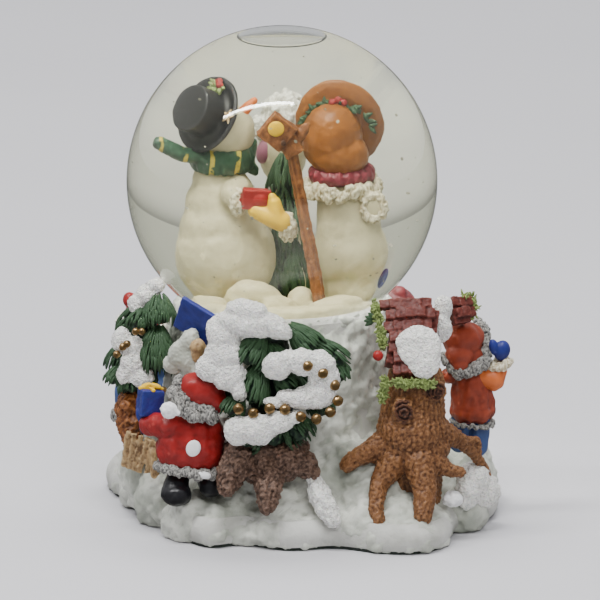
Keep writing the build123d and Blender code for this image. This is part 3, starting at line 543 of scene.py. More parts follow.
# ---------------------------------------------------------------- figures inside the globe
def make_inner_ground():
    disc = [(0, 68.2), (28.6, 68.2), (28.7, 73.5), (27.5, 75.4), (24, 76.2), (15, 76.6), (0, 77.0)]
    clay = Clay().add_mesh(lathe("ground", disc, 96))
    for centre, radii in [
        ((-7.6, -13, 78.5), (7.6, 6, 6.0)),
        ((-1.5, -16, 76.5), (5, 5, 4.0)),
        ((5.2, -11, 78), (4, 4, 4.5)),
        ((15, -15, 76), (8, 5, 3.6)),
        ((-19, -10, 76), (6, 6, 3.2)),
        ((0, 12, 76), (14, 8, 4.0)),
        ((-18, 12, 76), (6, 7, 3.0)),
        ((18, 13, 76), (7, 7, 3.0)),
    ]:
        clay.ball(centre, radii)
    skin = roughen(clay.fire(0.6, 4), 0.5, 5.0, 3.0)
    ground = piece("inner_ground", skin, INNER_SNOW)
    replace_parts(ground, "snow_plate")


def make_snowman(x, y):
    make_snowman_body(x, y)
    make_snowman_scarf(x, y)
    seat = Vector((-17.8, 0.2, 124.8))
    lean = Vector((-0.76, -0.46, 0.46)).normalized()
    make_top_hat(seat, lean)
    trim_top_hat(seat, lean)
    clay = Clay().path([((-9.8, 2.0, 124.6), 1.5), ((-8.2, 2.6, 126.2), 1.3), ((-6.8, 2.8, 127.6), 0.9)])
    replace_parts(cast("carrot", clay, (0.3, 2), CARROT), "snowman_nose")


def make_snowman_body(x, y):
    clay = Clay()
    clay.ball((x, y, 89.5), (12.0, 11.8, 12.5))
    clay.ball((x - 0.5, y, 95), (10.6, 10.4, 11.5))
    clay.ball((x - 1.0, y, 101), (8.8, 8.6, 10.5))
    clay.ball((x - 1.9, y, 108), (6.5, 6.2, 6.0))
    clay.ball((x - 0.6, y + 0.3, 119.6), (7.5, 7.2, 7.3))
    clay.path([((x + 2, y - 5, 107), 3.4), ((x + 1.0, y - 9.0, 106), 3.1), ((-11.2, -8.4, 104.6), 2.9)])
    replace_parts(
        cast("snowman_figure", clay, (0.45, 16), CREAM, (0.3, 4.0, 1.0)), "snowman_body"
    )


def make_snowman_scarf(x, y):
    """Scarf round the neck, with one end blown out to the left."""
    clay = Clay()
    for turn in turns(20):
        clay.ball((x - 1.2 + 6.3 * math.cos(turn), y + 6.2 * math.sin(turn), 113.3), (1.9, 1.9, 3.3))
    blown_end = [
        ((-20, -1.5, 114.6), 1.9), ((-25, -2, 115.2), 2.0), ((-29, -2, 117.0), 2.0), ((-32.4, -2, 118.6), 1.8)
    ]
    clay.path(blown_end)
    clay.path([((-8.6, 1, 114.0), 2.2), ((-7.2, 2.4, 116.6), 1.5)])
    clay.path([((-8.6, 2, 112.0), 1.7), ((-6.6, 3.6, 109.6), 1.3)])
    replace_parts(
        cast("snowman_neck_scarf", clay, (0.38, 3), STRIPES, (0.22, 1.4, 2.0)), "snowman_scarf"
    )


def make_top_hat(seat, lean):
    """Black hat: its brim's middle is at seat, and its crown points along lean."""
    profile = [
        (0, -0.8),
        (9.0, -0.7),
        (10.2, 0.4),
        (10.0, 1.3),
        (8.4, 0.7),
        (6.5, 0.9),
        (6.1, 2.5),
        (6.5, 7.6),
        (6.55, 8.3),
        (6.45, 8.6),
        (6.1, 8.75),
        (5.2, 8.7),
        (0, 8.4),
    ]
    hat = lathe("hat", profile, 64)
    hat.transform(Matrix.LocRotScale(seat, lean.to_track_quat("Z", "Y"), None))
    roughen(hat, 0.22, 4.5, 5.0)
    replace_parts(piece("snowman_hat", hat, BLACK), "snowman_top_hat")


def trim_top_hat(seat, lean):
    """Holly sprig and a star-shaped patch on the hat."""
    rng = random.Random(4)
    up = (Vector((0, 0, 1)) - lean * lean.z).normalized()
    side = lean.cross(up)
    nest = seat + up * 7.4 + lean * 1.6
    leaves = []
    for _ in range(26):
        away = side * rng.uniform(-1, 1) + up * rng.uniform(-0.6, 0.6) + lean * rng.uniform(0, 0.7)
        foot = nest + away * 0.8
        leaves.append([(foot, 0.5), (foot + away * 1.0, 0.75), (foot + away * 2.4, 0.2)])
    piece("hat_holly", spindles("hat_holly", leaves, 6), MOSS)
    clay = Clay()
    for across, rise in ((-0.9, 0.7), (0.9, 0.9), (0.0, 1.6)):
        clay.ball(nest + side * across + up * rise + lean * 0.9, 1.0)
    cast("hat_berries", clay, (0.25, 1), RED)
    clay = Clay()
    star = seat + up * 1.5 - side * 7.9 + lean * 1.3
    for turn in turns(5):
        point = up * math.cos(turn) + side * math.sin(turn)
        clay.limb(star, star + point * 1.9, 0.75, 0.3, 8)
    cast("hat_patch", clay, (0.25, 1), TAN)


def make_snow_lady(x, y):
    rng = random.Random(11)
    make_lady_body(x, y)
    make_lady_collar(x, y, rng)
    make_lady_scarf(x, y)
    make_bonnet(x, y)
    trim_bonnet(x, y, rng)


def make_lady_body(x, y):
    clay = Clay()
    clay.ball((x + 0.4, y, 90.4), (9.0, 9.0, 9.6))
    clay.ball((x + 0.2, y, 82), (6.6, 6.6, 6.0))
    clay.ball((x, y, 95.5), (7.9, 7.9, 9.5))
    clay.ball((x - 0.5, y, 100), (7.2, 7.2, 8.5))
    clay.ball((x - 1.0, y, 104.5), (6.8, 6.4, 5.5))
    clay.ball((x - 2.0, y + 0.6, 114), (7.0, 6.8, 7.0))
    clay.path([((x + 4, y - 2, 104), 3.0), ((x + 7.2, y - 4.5, 102.6), 2.8)])
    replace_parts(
        cast("snow_lady_figure", clay, (0.45, 16), CREAM, (0.3, 4.0, 7.0)), "snow_lady_body"
    )


def make_lady_collar(x, y, rng):
    """Fur collar and the fur-ringed end of the sleeve."""
    clay = Clay()
    for turn in turns(64):
        drop = rng.uniform(-1.3, 1.3)
        clay.ball(
            (x - 1.2 + 8.3 * math.cos(turn), y + 7.8 * math.sin(turn), 105.9 + drop), rng.uniform(1.0, 1.7)
        )
    for turn in turns(30):
        clay.ball(
            (x + 7.4 + 2.7 * math.cos(turn), y - 6.6, 102.2 + 3.0 * math.sin(turn)), rng.uniform(0.8, 1.3)
        )
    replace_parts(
        cast("fur_collar", clay, (0.36, 1), CREAM_FUR, (0.5, 0.9, 3.0)), "snow_lady_collar"
    )
    clay = Clay().ball((x + 7.4, y - 6.4, 102.2), (2.4, 1.0, 2.7))
    cast("sleeve_end", clay, (0.3, 2), CREAM)


def make_lady_scarf(x, y):
    clay = Clay()
    for turn in turns(20):
        clay.ball((x - 1.4 + 6.4 * math.cos(turn), y + 6.2 * math.sin(turn), 109.4), (1.9, 1.9, 2.1))
    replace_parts(cast("lady_scarf", clay, (0.38, 2), PLUM, (0.3, 1.8, 6.0)), "snow_lady_scarf")


def make_bonnet(x, y):
    """Bonnet seen from behind: a wide brim behind a rounded crown."""
    middle = Vector((x - 1.9, y + 3.4, 121.0))
    out = Vector((-0.04, 0.97, 0.24)).normalized()
    profile = [
        (0, -1.0), (7.5, -0.9), (9.6, -0.2), (10.8, 1.2), (10.6, 2.0), (9.4, 1.3), (7.4, 0.6), (0, 0.4)
    ]
    brim = lathe("brim", profile, 72)
    brim.transform(Matrix.LocRotScale(middle, out.to_track_quat("Z", "Y"), Vector((1.0, 1.14, 1.0))))
    crown = Clay().ball((x - 3.6, y - 0.6, 118.8), (7.6, 7.6, 9.2), (12, 8, 0))
    crown.ball((x - 1.7, y - 2.4, 114.8), (7.6, 5.8, 5.6))
    crown.add_mesh(brim)
    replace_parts(cast("lady_bonnet", crown, (0.38, 2), STRAW, (0.25, 3.5, 9.0)), "straw_bonnet")


def trim_bonnet(x, y, rng):
    """Holly and berries along the front of the brim."""
    leaves = []
    for _ in range(44):
        turn = math.radians(rng.uniform(18, 162))
        foot = Vector((x - 2.0 + 8.6 * math.cos(turn), y + 0.2, 118.4 + 8.9 * math.sin(turn)))
        away = Vector((rng.gauss(0, 1) + 1.2 * math.cos(turn), rng.uniform(-1, 0.1), rng.gauss(0, 0.7) + 0.2))
        away.normalize()
        leaves.append([(foot, 0.45), (foot + away * 1.1, 0.75), (foot + away * 2.6, 0.2)])
    piece("bonnet_holly", spindles("bonnet_holly", leaves, 6), GREEN)
    clay = Clay()
    for dx, dz in ((-1.2, 9.6), (0.4, 10.3), (1.8, 9.6)):
        clay.ball((x - 2.0 + dx, y - 0.8, 118.4 + dz), 0.95)
    cast("bonnet_berries", clay, (0.25, 1), RED)


def make_mittens():
    """Red and yellow mittens that hold each other, with their fur cuffs."""
    clay = Clay()
    clay.path([((-9.0, -9.8, 105.2), 2.4), ((-5.4, -10.8, 105.6), 2.6)])
    clay.slab((-6.6, -11.0, 105.6), (7.4, 3.4, 5.4), (0, 4, 0))
    cast("red_mitten", clay, (0.35, 3), RED)
    clay = Clay()
    clay.path([((-6.8, -11.4, 102.6), 2.0), ((-2.2, -12.2, 101.0), 2.8), ((-0.2, -12.2, 100.0), 2.7)])
    clay.path([((-1.4, -12.6, 101.6), 2.3), ((-2.0, -12.8, 105.0), 1.8), ((-2.5, -12.8, 106.6), 1.1)])
    yellow = cast("yellow_mitten", clay, (0.35, 3), YELLOW)
    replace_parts(yellow, "joined_mittens")
    fuzz("left_cuff", (-11.2, -9.2, 104.4), (1.8, 1.8, 3.2), 0.7, 90, CREAM_FUR, 3, 0.28)
    fuzz("right_cuff", (1.6, -11.4, 98.2), (1.9, 1.8, 3.4), 0.7, 90, CREAM_FUR, 5, 0.28)


def make_birdhouse():
    """Leaning post with the birdhouse on top."""
    clay = Clay()
    clay.path([((10.4, -15.4, 75.5), 1.8), ((8.0, -15.0, 90.0), 1.7), ((2.6, -14.6, 119.6), 1.4)])
    skin = clay.fire(0.32, 2)

    def grain(spot):
        lean_x = 7 - 0.2 * (spot.z - 96)
        return 0.16 * math.sin(5.0 * math.atan2(spot.y + 15, spot.x - lean_x) + 0.1 * spot.z)

    carve(skin, grain)
    roughen(skin, 0.2, 2.2, 8.0)
    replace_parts(piece("house_post", skin, POST), "birdhouse_post")
    clay = Clay()
    clay.slab((-1.3, -16.6, 125.6), (8.0, 3.4, 8.2), (0, 38, 0))
    clay.slab((2.0, -16.0, 121.8), (5.4, 3.0, 6.8), (0, -30, 0))
    clay.ball((5.0, -15.6, 124.0), (1.6, 1.4, 4.6), (0, 32, 0))
    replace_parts(cast("bird_house", clay, (0.32, 3), POST, (0.22, 1.6, 5.0)), "birdhouse")
    clay = Clay().ball((0.4, -18.2, 122.6), (0.9, 0.5, 0.9))
    cast("house_knot", clay, (0.2, 1), KNOT)
    clay = Clay().ball((-1.6, -18.4, 126.8), (2.3, 0.6, 2.3))
    cast("house_door", clay, (0.2, 1), YELLOW)


def make_inner_fir():
    rng = random.Random(9)
    boughs = []
    for top, tip, width, count in [
        ((0.6, 6, 113.5), (-0.4, 5.5, 101), 3.6, 90),
        ((-0.6, 5, 106), (-1.4, 4.6, 97), 3.6, 80),
        ((1.6, 6, 103), (2.2, 5, 90), 4.2, 110),
        ((1.6, 6, 94), (2.4, 5, 79), 4.4, 130),
        ((0, 8, 95), (-0.6, 7.4, 80), 4.4, 110),
    ]:
        boughs += bough(top, tip, width, 1.0, count, 0.42, rng)
    core = Clay().limb((1.0, 7, 77), (0.6, 7, 110), 3.6, 1.6)
    fir = together("inner_fir", spindles("inner_fir", boughs), core.fire(0.6, 1))
    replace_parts(piece("inner_fir", fir, GREEN), "globe_fir")


def make_snow_child():
    """Small snow figure behind the pair, with its cap, ear muff and skate."""
    clay = Clay()
    clay.ball((0, 17.5, 84), (6, 6, 8))
    clay.ball((0, 17.5, 96), (5, 5, 8))
    clay.ball((0.2, 17.0, 111), (5.4, 5.4, 8.0))
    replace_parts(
        cast("snow_child_figure", clay, (0.45, 4), CREAM, (0.3, 3.0, 5.0)), "snow_child"
    )
    fuzz("fuzzy_cap", (0.8, 16.6, 118.6), (4.8, 4.8, 5.2), 0.8, 190, WHITE_FUR, 21, 0.32)
    fuzz("cap_bobble", (-4.9, 15.6, 116.6), (1.5, 1.5, 1.9), 0.8, 40, WHITE_FUR, 22, 0.3)
    clay = Clay().ball((-3.9, 14.6, 111.4), (1.8, 1.8, 3.0), (0, 15, 0))
    cast("ear_muff", clay, (0.3, 2), MAUVE)
    clay = Clay().ball((23.0, 6, 83.8), (0.9, 1.2, 2.6), (0, 24, 0))
    cast("small_skate", clay, (0.28, 2), BLUE)


# ---------------------------------------------------------------- base
FOOTPRINT = [
    (-56, 33),
    (-53.5, 8),
    (-46, -6),
    (-40, -27),
    (-31, -47),
    (-22, -55),
    (-14, -51.5),
    (1, -58.5),
    (17, -56),
    (30, -61.5),
    (46, -62),
    (53, -53),
    (56, -38),
    (67, -22),
    (69.5, 4),
    (65, 30),
    (50, 48),
    (25, 57),
    (0, 61),
    (-25, 57),
    (-45, 47),
]


def outline(share):
    """Smooth closed footprint, drawn in by a share of its size."""
    corners = [Vector(p) * share for p in FOOTPRINT]
    total = len(corners)
    points = []
    for k in range(OUTLINE_POINTS):
        place = k * total / OUTLINE_POINTS
        i = int(place)
        t = place - i
        a, b, c, d = (corners[(i + n) % total] for n in (-1, 0, 1, 2))
        points.append(
            0.5 * (
                (2 * b) + (c - a) * t + (2 * a - 5 * b + 4 * c - d) * t**2 + (3 * b - a - 3 * c + d) * t**3
            )
        )
    return points


def bank_ring():
    """Closed ring of snow that slopes from the outline up to the drum."""
    bm = bmesh.new()
    rings = []
    for share, height in (
        (0.985, 0.4),
        (0.996, 2.5),
        (0.996, 4.5),
        (0.988, 6.5),
        (0.968, 8.5),
        (0.94, 10.5),
        (0.9, 12.5),
        (0.84, 15.0),
        (0.77, 19.0),
        (0.7, 24.0),
        (0.64, BANK_TOP_Z),
        (0.6, BANK_TOP_Z),
    ):
        rings.append([bm.verts.new((p.x, p.y, height)) for p in outline(share)])
    directions = [math.atan2(v.co.y, v.co.x) for v in rings[0]]
    for height in (BANK_TOP_Z, 0.4):
        bore = [(DRUM_BORE_R * math.cos(turn), DRUM_BORE_R * math.sin(turn), height) for turn in directions]
        rings.append([bm.verts.new(point) for point in bore])
    for k in range(OUTLINE_POINTS):
        after = (k + 1) % OUTLINE_POINTS
        for low, high in zip(rings, rings[1:] + rings[:1]):
            bm.faces.new((low[k], low[after], high[after], high[k]))
    bmesh.ops.recalc_face_normals(bm, faces=bm.faces)
    mesh = bpy.data.meshes.new("bank")
    bm.to_mesh(mesh)
    bm.free()
    return mesh


def drum():
    """Pedestal that the globe sits on, with its flared foot and rounded rim."""
    profile = [
        (DRUM_BORE_R, 5),
        (45.5, 5),
        (44.5, 12),
        (40.5, 20),
        (38.0, 32),
        (37.0, 50),
        (36.0, 62),
        (35.0, DRUM_RIM_Z - 2.2),
        (DRUM_BORE_R, DRUM_RIM_Z - 0.4),
        (32.6, DRUM_RIM_Z),
        (33.0, DRUM_RIM_Z - 4),
        (DRUM_BORE_R, DRUM_RIM_Z - 8),
        (DRUM_BORE_R, 5),
    ]
    return lathe("drum", profile, 160)


def make_bank():
    """Lumpy snow bank and the pedestal drum, as one skin over the casting."""
    clay = Clay().add_mesh(drum()).add_mesh(bank_ring())
    for centre, radii in [
        ((61, -10, 8), (9, 12, 11)),
        ((57, -28, 6), (9, 10, 9)),
        ((-43.5, 2, 8), (10, 14, 13)),
        ((-43, -8, 13), (8.5, 13, 13)),
        ((-39, -22, 8), (8, 11, 11)),
        ((61, 4, 9), (8, 14, 11)),
        ((-41, 26, 6), (12, 14, 11)),
        ((-27, -40, 5), (11, 10, 10)),
        ((38, 33, 6), (15, 14, 12)),
        ((0, 45, 6), (18, 10, 11)),
        ((21, -43, 13), (8, 6, 8)),
    ]:
        clay.ball(centre, radii)
    skin = clay.fire(0.75, 12)
    roughen(skin, 1.6, 8.0, 2.0)
    roughen(skin, 0.8, 3.2, 4.0)
    roughen(skin, 0.3, 1.3, 9.0)
    bore_r = DRUM_BORE_R - 0.3
    bore_top_z = 60.0
    for v in skin.vertices:
        v.co.z = max(v.co.z, BANK_FOOT_Z)
        reach = math.hypot(v.co.x, v.co.y)
        if reach < bore_r and v.co.z < bore_top_z:
            v.co.x *= bore_r / reach
            v.co.y *= bore_r / reach
    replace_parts(piece("snow_bank", skin, SNOW), "snow_banks")


def make_bank_glitter():
    """Glittered path, lump and loose snowball on the bank."""
    clay = Clay()
    clay.path(
        [((10.4, -51.0, 22.0), 2.6), ((12.0, -54.0, 17.5), 3.6), ((14.5, -56.0, 13.5), 3.6), ((16, -57, 10.8), 3.0)],
    )
    cast("glitter_path", clay, (0.4, 3), GLITTER, (0.8, 2.5, 1.0))
    clay = Clay()
    clay.ball((61.5, -31, 17), (5.6, 6, 5.5))
    clay.ball((65, -30, 12.5), (5, 5, 6))
    clay.ball((59.5, -36, 13), (4, 4, 5))
    cast("glitter_lump", clay, (0.45, 4), GLITTER, (0.9, 3.0, 6.0))
    clay = Clay().ball((54.5, -45, 14.0), (3.4, 3.2, 2.6))
    cast("snowball", clay, (0.35, 2), WHITE, (0.5, 2.0, 3.0))


# ---------------------------------------------------------------- firs
def make_front_trunk():
    clay = Clay()
    clay.ball((-5, -47, 31), (14.0, 7.5, 5.5))
    clay.ball((-4, -46, 35), (11, 7, 6))
    clay.ball((-5, -49, 25.5), (11.5, 6.5, 5.5))
    clay.path([((-13, -50, 29), 5.8), ((-16.5, -53, 23), 4.4), ((-17.5, -54.5, 20.4), 3.2)])
    clay.path([((1, -50, 29), 5.8), ((7, -51, 27), 4.4), ((9.8, -52, 24.5), 2.6)])
    clay.path([((-4, -51, 26), 5.6), ((-4.2, -56, 19.5), 4.2), ((-4.6, -58.4, 15.4), 3.0)])
    trunk = clay.fire(0.42, 4)
    roughen(trunk, 0.9, 2.6, 4.0)
    roughen(trunk, 0.5, 0.8, 6.0)
    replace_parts(piece("front_trunk", trunk, BROWN_BARK), "front_tree_trunk")


def make_front_boughs():
    boughs = [
        ((-6, -49, 69), (-12.0, -52, 59), 5.4, 150),
        ((2, -47, 72), (12, -49, 62), 5.0, 150),
        ((9, -47, 67), (20.5, -49, 58), 4.6, 150),
        ((15, -47, 61), (20, -49, 53), 4.0, 110),
        ((-4, -48, 66), (-1, -51, 58), 4.6, 100),
        ((-7, -49, 60), (-10.5, -53, 46.5), 5.6, 170),
        ((-2, -50, 57), (4.0, -53, 51), 4.0, 100),
        ((4, -46, 58), (10, -47, 46), 5.6, 120),
        ((-13, -50, 50), (-17, -54, 43), 4.0, 90),
        ((-8, -51, 41), (-13, -56, 33.5), 5.0, 130),
        ((2, -50, 44), (7.5, -56, 35.5), 5.2, 150),
        ((-3, -50, 40), (-2, -56, 34), 5.0, 110),
        ((9, -45, 50), (14, -46, 41), 4.4, 90),
        ((-18, -44, 62), (-24, -44, 52), 4.6, 110),
        ((-14, -42, 52), (-21, -42, 42), 4.6, 110),
    ]
    core = Clay().limb((-3, -42, 45), (-4, -43, 66), 7.0, 6.0)
    make_boughs("front_boughs", boughs, core, "front_tree_boughs", 5, 0.46)


def make_front_snow():
    """Glitter snow on the front fir: its cap, the drape on the right and the low lump."""
    cap = snow_form(
        "tree_snow_cap",
        [
            ((-11.0, -50, 77.0), (7.0, 5.0, 3.8), (0, 8, 0)),
            ((-10.5, -49.5, 73.0), (10.5, 6.5, 4.6), (0, 8, 0)),
            ((-3.5, -50, 72.4), (6.4, 5.4, 3.6), (0, 28, 0)),
            ((0.4, -51, 70.4), (3.4, 4.0, 2.4), (0, 35, 0)),
            ((-18.6, -49, 69.0), (5.6, 5.5, 6.4), (0, -25, 0)),
            ((-18.2, -50.5, 62.5), (6.6, 5.0, 6.4)),
            ((-22.4, -50, 58.2), (5.4, 5.0, 4.6)),
            ((-16.6, -52.5, 56.4), (5.4, 4.2, 5.4), (0, -20, 0)),
            ((-13.8, -54.0, 52.2), (2.6, 2.6, 4.0), (0, -15, 0)),
        ],
        2.0,
    )
    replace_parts(cap, "front_tree_snow")
    snow_form(
        "tree_snow_drape",
        [
            ((-1.5, -56, 60.3), (4.8, 3.6, 4.6)),
            ((2.4, -56.5, 62.4), (4.4, 3.4, 3.4)),
            ((6.6, -57, 62.0), (5.4, 3.8, 4.4)),
            ((12.0, -56.5, 61.0), (5.4, 3.8, 4.6), (0, 25, 0)),
            ((13.6, -56, 56.0), (5.2, 3.6, 5.4)),
            ((11.6, -56.5, 51.4), (6.0, 3.6, 4.8), (0, -20, 0)),
            ((7.0, -56.5, 50.0), (5.0, 3.4, 3.6)),
            ((2.6, -56.5, 50.0), (4.4, 3.0, 2.6), (0, 12, 0)),
            ((-2.4, -56.5, 48.6), (3.4, 2.6, 1.6), (0, 12, 0)),
        ],
        5.0,
    )
    snow_form(
        "tree_snow_lump",
        [
            ((-13.6, -57.5, 39.6), (4.8, 4.0, 4.8)),
            ((-7.6, -58, 40.2), (6.6, 4.2, 5.0)),
            ((-1.6, -57.8, 42.4), (5.6, 4.0, 3.8), (0, -12, 0)),
            ((3.2, -57.4, 43.8), (3.8, 3.0, 2.2), (0, -15, 0)),
        ],
        8.0,
    )


def make_left_trunk():
    """Trunk of the left fir and the split planks that lean on it."""
    clay = Clay()
    clay.path(
        [((-46, -9, 44), 4.0), ((-48.5, -13, 37), 4.8), ((-49.0, -16, 31), 4.2), ((-48.5, -18, 27), 3.4)]
    )
    clay.ball((-49.8, -16, 36), (3.2, 3.4, 5.5))
    skin = clay.fire(0.42, 3)
    roughen(skin, 1.0, 2.4, 3.0)
    roughen(skin, 0.5, 0.9, 5.0)
    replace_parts(piece("left_trunk", skin, POST), "left_tree_trunk")
    rng = random.Random(31)
    clay = Clay()
    for k in range(6):
        lean = rng.uniform(-4, 4)
        clay.slab((-50.2 + 1.9 * k, -21.5 - 0.5 * k, 24.5 - 0.6 * k), (1.5, 1.6, 12), (4, 12 + lean, 0))
    clay.slab((-46.5, -22.6, 27.0), (9, 1.0, 1.5), (0, 16, -14))
    clay.slab((-45.0, -23.2, 21.0), (9, 1.0, 1.5), (0, 16, -14))
    clay.path([((-41.6, -24.5, 24), 1.5), ((-40.6, -26.0, 16), 1.4), ((-40.2, -27.5, 12), 1.2)])
    planks = roughen(clay.fire(0.3, 1), 0.3, 1.6, 4.0)
    piece("split_planks", planks, TAN)


def make_left_boughs():
    boughs = [
        ((-39.4, -13, 74), (-39.6, -15, 63), 5.6, 210),
        ((-39.8, -15, 64), (-40.6, -17.5, 48), 6.6, 300),
        ((-44.6, -13, 69), (-46.0, -15, 62), 4.4, 120),
        ((-52.5, -14, 50), (-55.0, -15, 43.5), 3.2, 80),
        ((-48.8, -16, 48), (-49.0, -18, 41.5), 3.8, 110),
        ((-44.0, -16, 52), (-44.4, -18, 43), 3.8, 110),
        ((-46.0, -4, 68), (-50.0, 0, 56), 5.0, 130),
        ((-44.0, -3, 62), (-46.0, 2, 48), 5.4, 150),
        ((-50.0, -6, 57), (-54.0, -5, 45), 4.6, 120),
        ((-40.0, -6, 60), (-39.0, -1, 48), 4.4, 120),
        ((-46.0, -2, 50), (-47.5, 1.5, 41), 4.6, 120),
    ]
    core = Clay().limb((-46.5, -9, 44), (-43, -10, 68), 6.5, 3.0)
    make_boughs("left_boughs", boughs, core, "left_tree_boughs", 8, 0.4)


def make_left_snow():
    """Snow on the left fir and on the branch beside it."""
    snow = snow_form(
        "left_snow",
        [
            ((-40.6, -10.5, 75.6), (3.2, 3.4, 2.8), (0, -30, 0)),
            ((-43.4, -10.5, 73.0), (4.0, 4.0, 3.2), (0, -40, 0)),
            ((-46.4, -10.5, 69.6), (3.2, 3.6, 3.2), (0, -40, 0)),
            ((-51.4, -15, 58.6), (3.5, 3.4, 4.4)),
            ((-47.6, -17, 57.0), (3.6, 3.0, 3.6)),
            ((-48.0, -18, 52.0), (4.2, 3.2, 4.6), (0, 20, 0)),
            ((-50.0, -18.0, 48.5), (3.0, 3.0, 3.4)),
            ((-45.0, -19.0, 47.5), (4.0, 2.8, 3.2)),
        ],
        4.0,
        lump=0.6,
    )
    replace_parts(snow, "left_tree_snow")
    snow_form(
        "branch_snow",
        [
            ((-29.6, -30.5, 62.0), (3.0, 2.8, 4.6), (0, 20, 0)),
            ((-31.5, -30, 57.5), (5.0, 3.6, 4.6), (0, 35, 0)),
            ((-27.5, -31, 55.5), (5.6, 4.0, 4.4)),
            ((-35.0, -28, 54.0), (3.6, 3.0, 2.8), (0, 30, 0)),
            ((-24.0, -34, 53.5), (5.0, 4.0, 5.0)),
        ],
        7.0,
        SNOW,
    )


def make_sawn_branch():
    """Sawn branch end and the blue board that leans above it."""
    clay = Clay().path([((-26.5, -31, 59), 2.6), ((-26.8, -35, 61.5), 2.6)])
    clay.ball((-26.8, -35.4, 60.4), (2.3, 1.8, 4.0), (0, 5, 0))
    cast("sawn_branch", clay, (0.32, 2), TAN, (0.25, 1.8, 2.0))
    clay = Clay().slab((-27.8, -28.0, 68.4), (13.0, 1.8, 12.0), (12, 24, -28))
    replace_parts(cast("leaning_board", clay, (0.4, 1), BLUE, (0.15, 3.0, 2.0)), "blue_board")


def make_beads():
    strings = [
        (8.2, -60.0, 61.5),
        (13.0, -59.5, 59.0),
        (16.8, -58.5, 54.8),
        (17.8, -58.0, 49.6),
        (15.4, -58.6, 46.0),
        (11.0, -59.6, 44.0),
        (6.0, -59.6, 44.8),
        (1.0, -59.4, 47.0),
        (-3.8, -59.2, 47.4),
        (-9.0, -59.0, 45.8),
        (-13.7, -58.2, 47.0),
        (-46.9, -19.5, 62.8),
        (-44.9, -20.0, 62.9),
        (-49.7, -20.0, 58.8),
        (-51.0, -19.0, 57.6),
        (-53.0, -18.6, 55.0),
        (-38.0, -24.0, 44.5),
    ]
    bm = bmesh.new()
    for k, spot in enumerate(strings):
        radius = 1.75 if k < 11 else 1.25
        bmesh.ops.create_uvsphere(
            bm, u_segments=28, v_segments=18, radius=radius, matrix=Matrix.Translation(spot)
        )
    mesh = bpy.data.meshes.new("gilt_beads")
    bm.to_mesh(mesh)
    bm.free()
    roughen(mesh, 0.12, 1.2, 3.0)
    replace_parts(piece("gilt_beads", mesh, GOLD), "bead_strings")


# ---------------------------------------------------------------- stump and roof
def make_stump():
    clay = Clay()
    clay.path([((42.6, -38, 50), 9.4), ((42, -39, 44), 10.0), ((41.4, -41, 35), 11.2)])
    clay.ball((41.4, -42.5, 30.5), (12.6, 8.5, 7.0))
    clay.limb((42, -38, 14), (42, -38, 30), 9.0, 10.0)
    for root in (
        [((33, -43, 31), 5.4), ((27, -45, 29), 3.4), ((22.8, -45.5, 27.2), 2.7), ((21.0, -46, 25.6), 2.6)],
        [((36, -46, 27), 5.2), ((31.2, -50.5, 20.5), 3.1), ((29.8, -54.5, 14), 2.4), ((30.8, -57, 9.8), 2.2)],
        [((44, -48, 27), 5.6), ((45.6, -53, 18.5), 3.7), ((45.0, -57, 11.6), 3.0)],
        [((48, -46, 26.5), 4.6), ((53, -46.5, 24.0), 2.3), ((57, -46, 23), 1.7)],
        [((48, -42, 36), 5.6), ((56, -38, 32), 2.7), ((61, -34, 27), 2.0), ((66, -30, 18.5), 1.4)],
        [((59.5, -36, 30.5), 1.6), ((62.5, -33.5, 30.5), 1.3), ((63.0, -33, 25.5), 1.3)],
    ):
        clay.path(root)
    clay.ball((38.6, -49.4, 44.0), (3.6, 2.2, 4.8))
    clay.ball((49.0, -46.0, 50.0), (3.4, 2.2, 3.6))
    stump = clay.fire(0.45, 4)
    knots = [(Vector((38.8, -51.2, 44.0)), 2.6), (Vector((49.8, -48.0, 50.0)), 2.3)]

    def grooves(spot):
        turn = math.atan2(spot.y + 40, spot.x - 42)
        groove = math.sin(turn * 32 + 4.0 * noise.noise(spot / 5.0)) * 0.13
        for knot, reach in knots:
            away = (spot - knot).length
            if away < reach:
                groove -= 1.5 * (1 - away / reach)
        return groove

    carve(stump, grooves)
    roughen(stump, 0.35, 1.1, 4.0)
    roughen(stump, 0.3, 0.7, 7.0)
    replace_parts(piece("rooted_stump", stump, STUMP_BARK), "tree_stump")

    clay = Clay().ball((38.6, -50.6, 44.2), (3.0, 1.5, 3.9)).ball((49.0, -47.2, 50.2), (2.9, 1.5, 2.9))
    burls = clay.fire(0.25, 2)
    carve(burls, lambda p: 0.3 * math.sin(5.5 * min((p - knot).length for knot, _ in knots)))
    piece("stump_knots", roughen(burls, 0.35, 0.8, 5.0), KNOT)


def shingle_panel(clay, corner, along, down, rows, columns, thickness, taper, rng):
    """Rows of thick shingles on the parallelogram from a corner, along its top edge and down its slope."""
    along, down = Vector(along), Vector(down)
    normal = along.cross(down).normalized()
    if normal.y > 0:
        normal = -normal
    spin = Matrix((along.normalized(), -normal, -down.normalized())).transposed()
    for row in range(rows):
        for column in range(columns):
            u = (column + 0.5 + 0.4 * (row % 2)) / (columns + 0.4)
            v = (row + 0.5) / rows
            bulge = normal * (1.2 * math.sin(math.pi * u) + 0.5 * (row % 2))
            width = 1 - taper * v
            spot = Vector(corner) + along * (u * width) + down * v + bulge
            spot.z += rng.uniform(-0.25, 0.25)
            size = (
                along.length * width / (columns + 0.4) * rng.uniform(0.86, 0.97),
                thickness * rng.uniform(0.85, 1.15),
                down.length / rows * rng.uniform(0.80, 0.92),
            )
            turn = spin @ Euler((-0.14, rng.uniform(-0.07, 0.07), rng.uniform(-0.1, 0.1))).to_matrix()
            clay.slab(spot, size, [math.degrees(a) for a in turn.to_euler()])


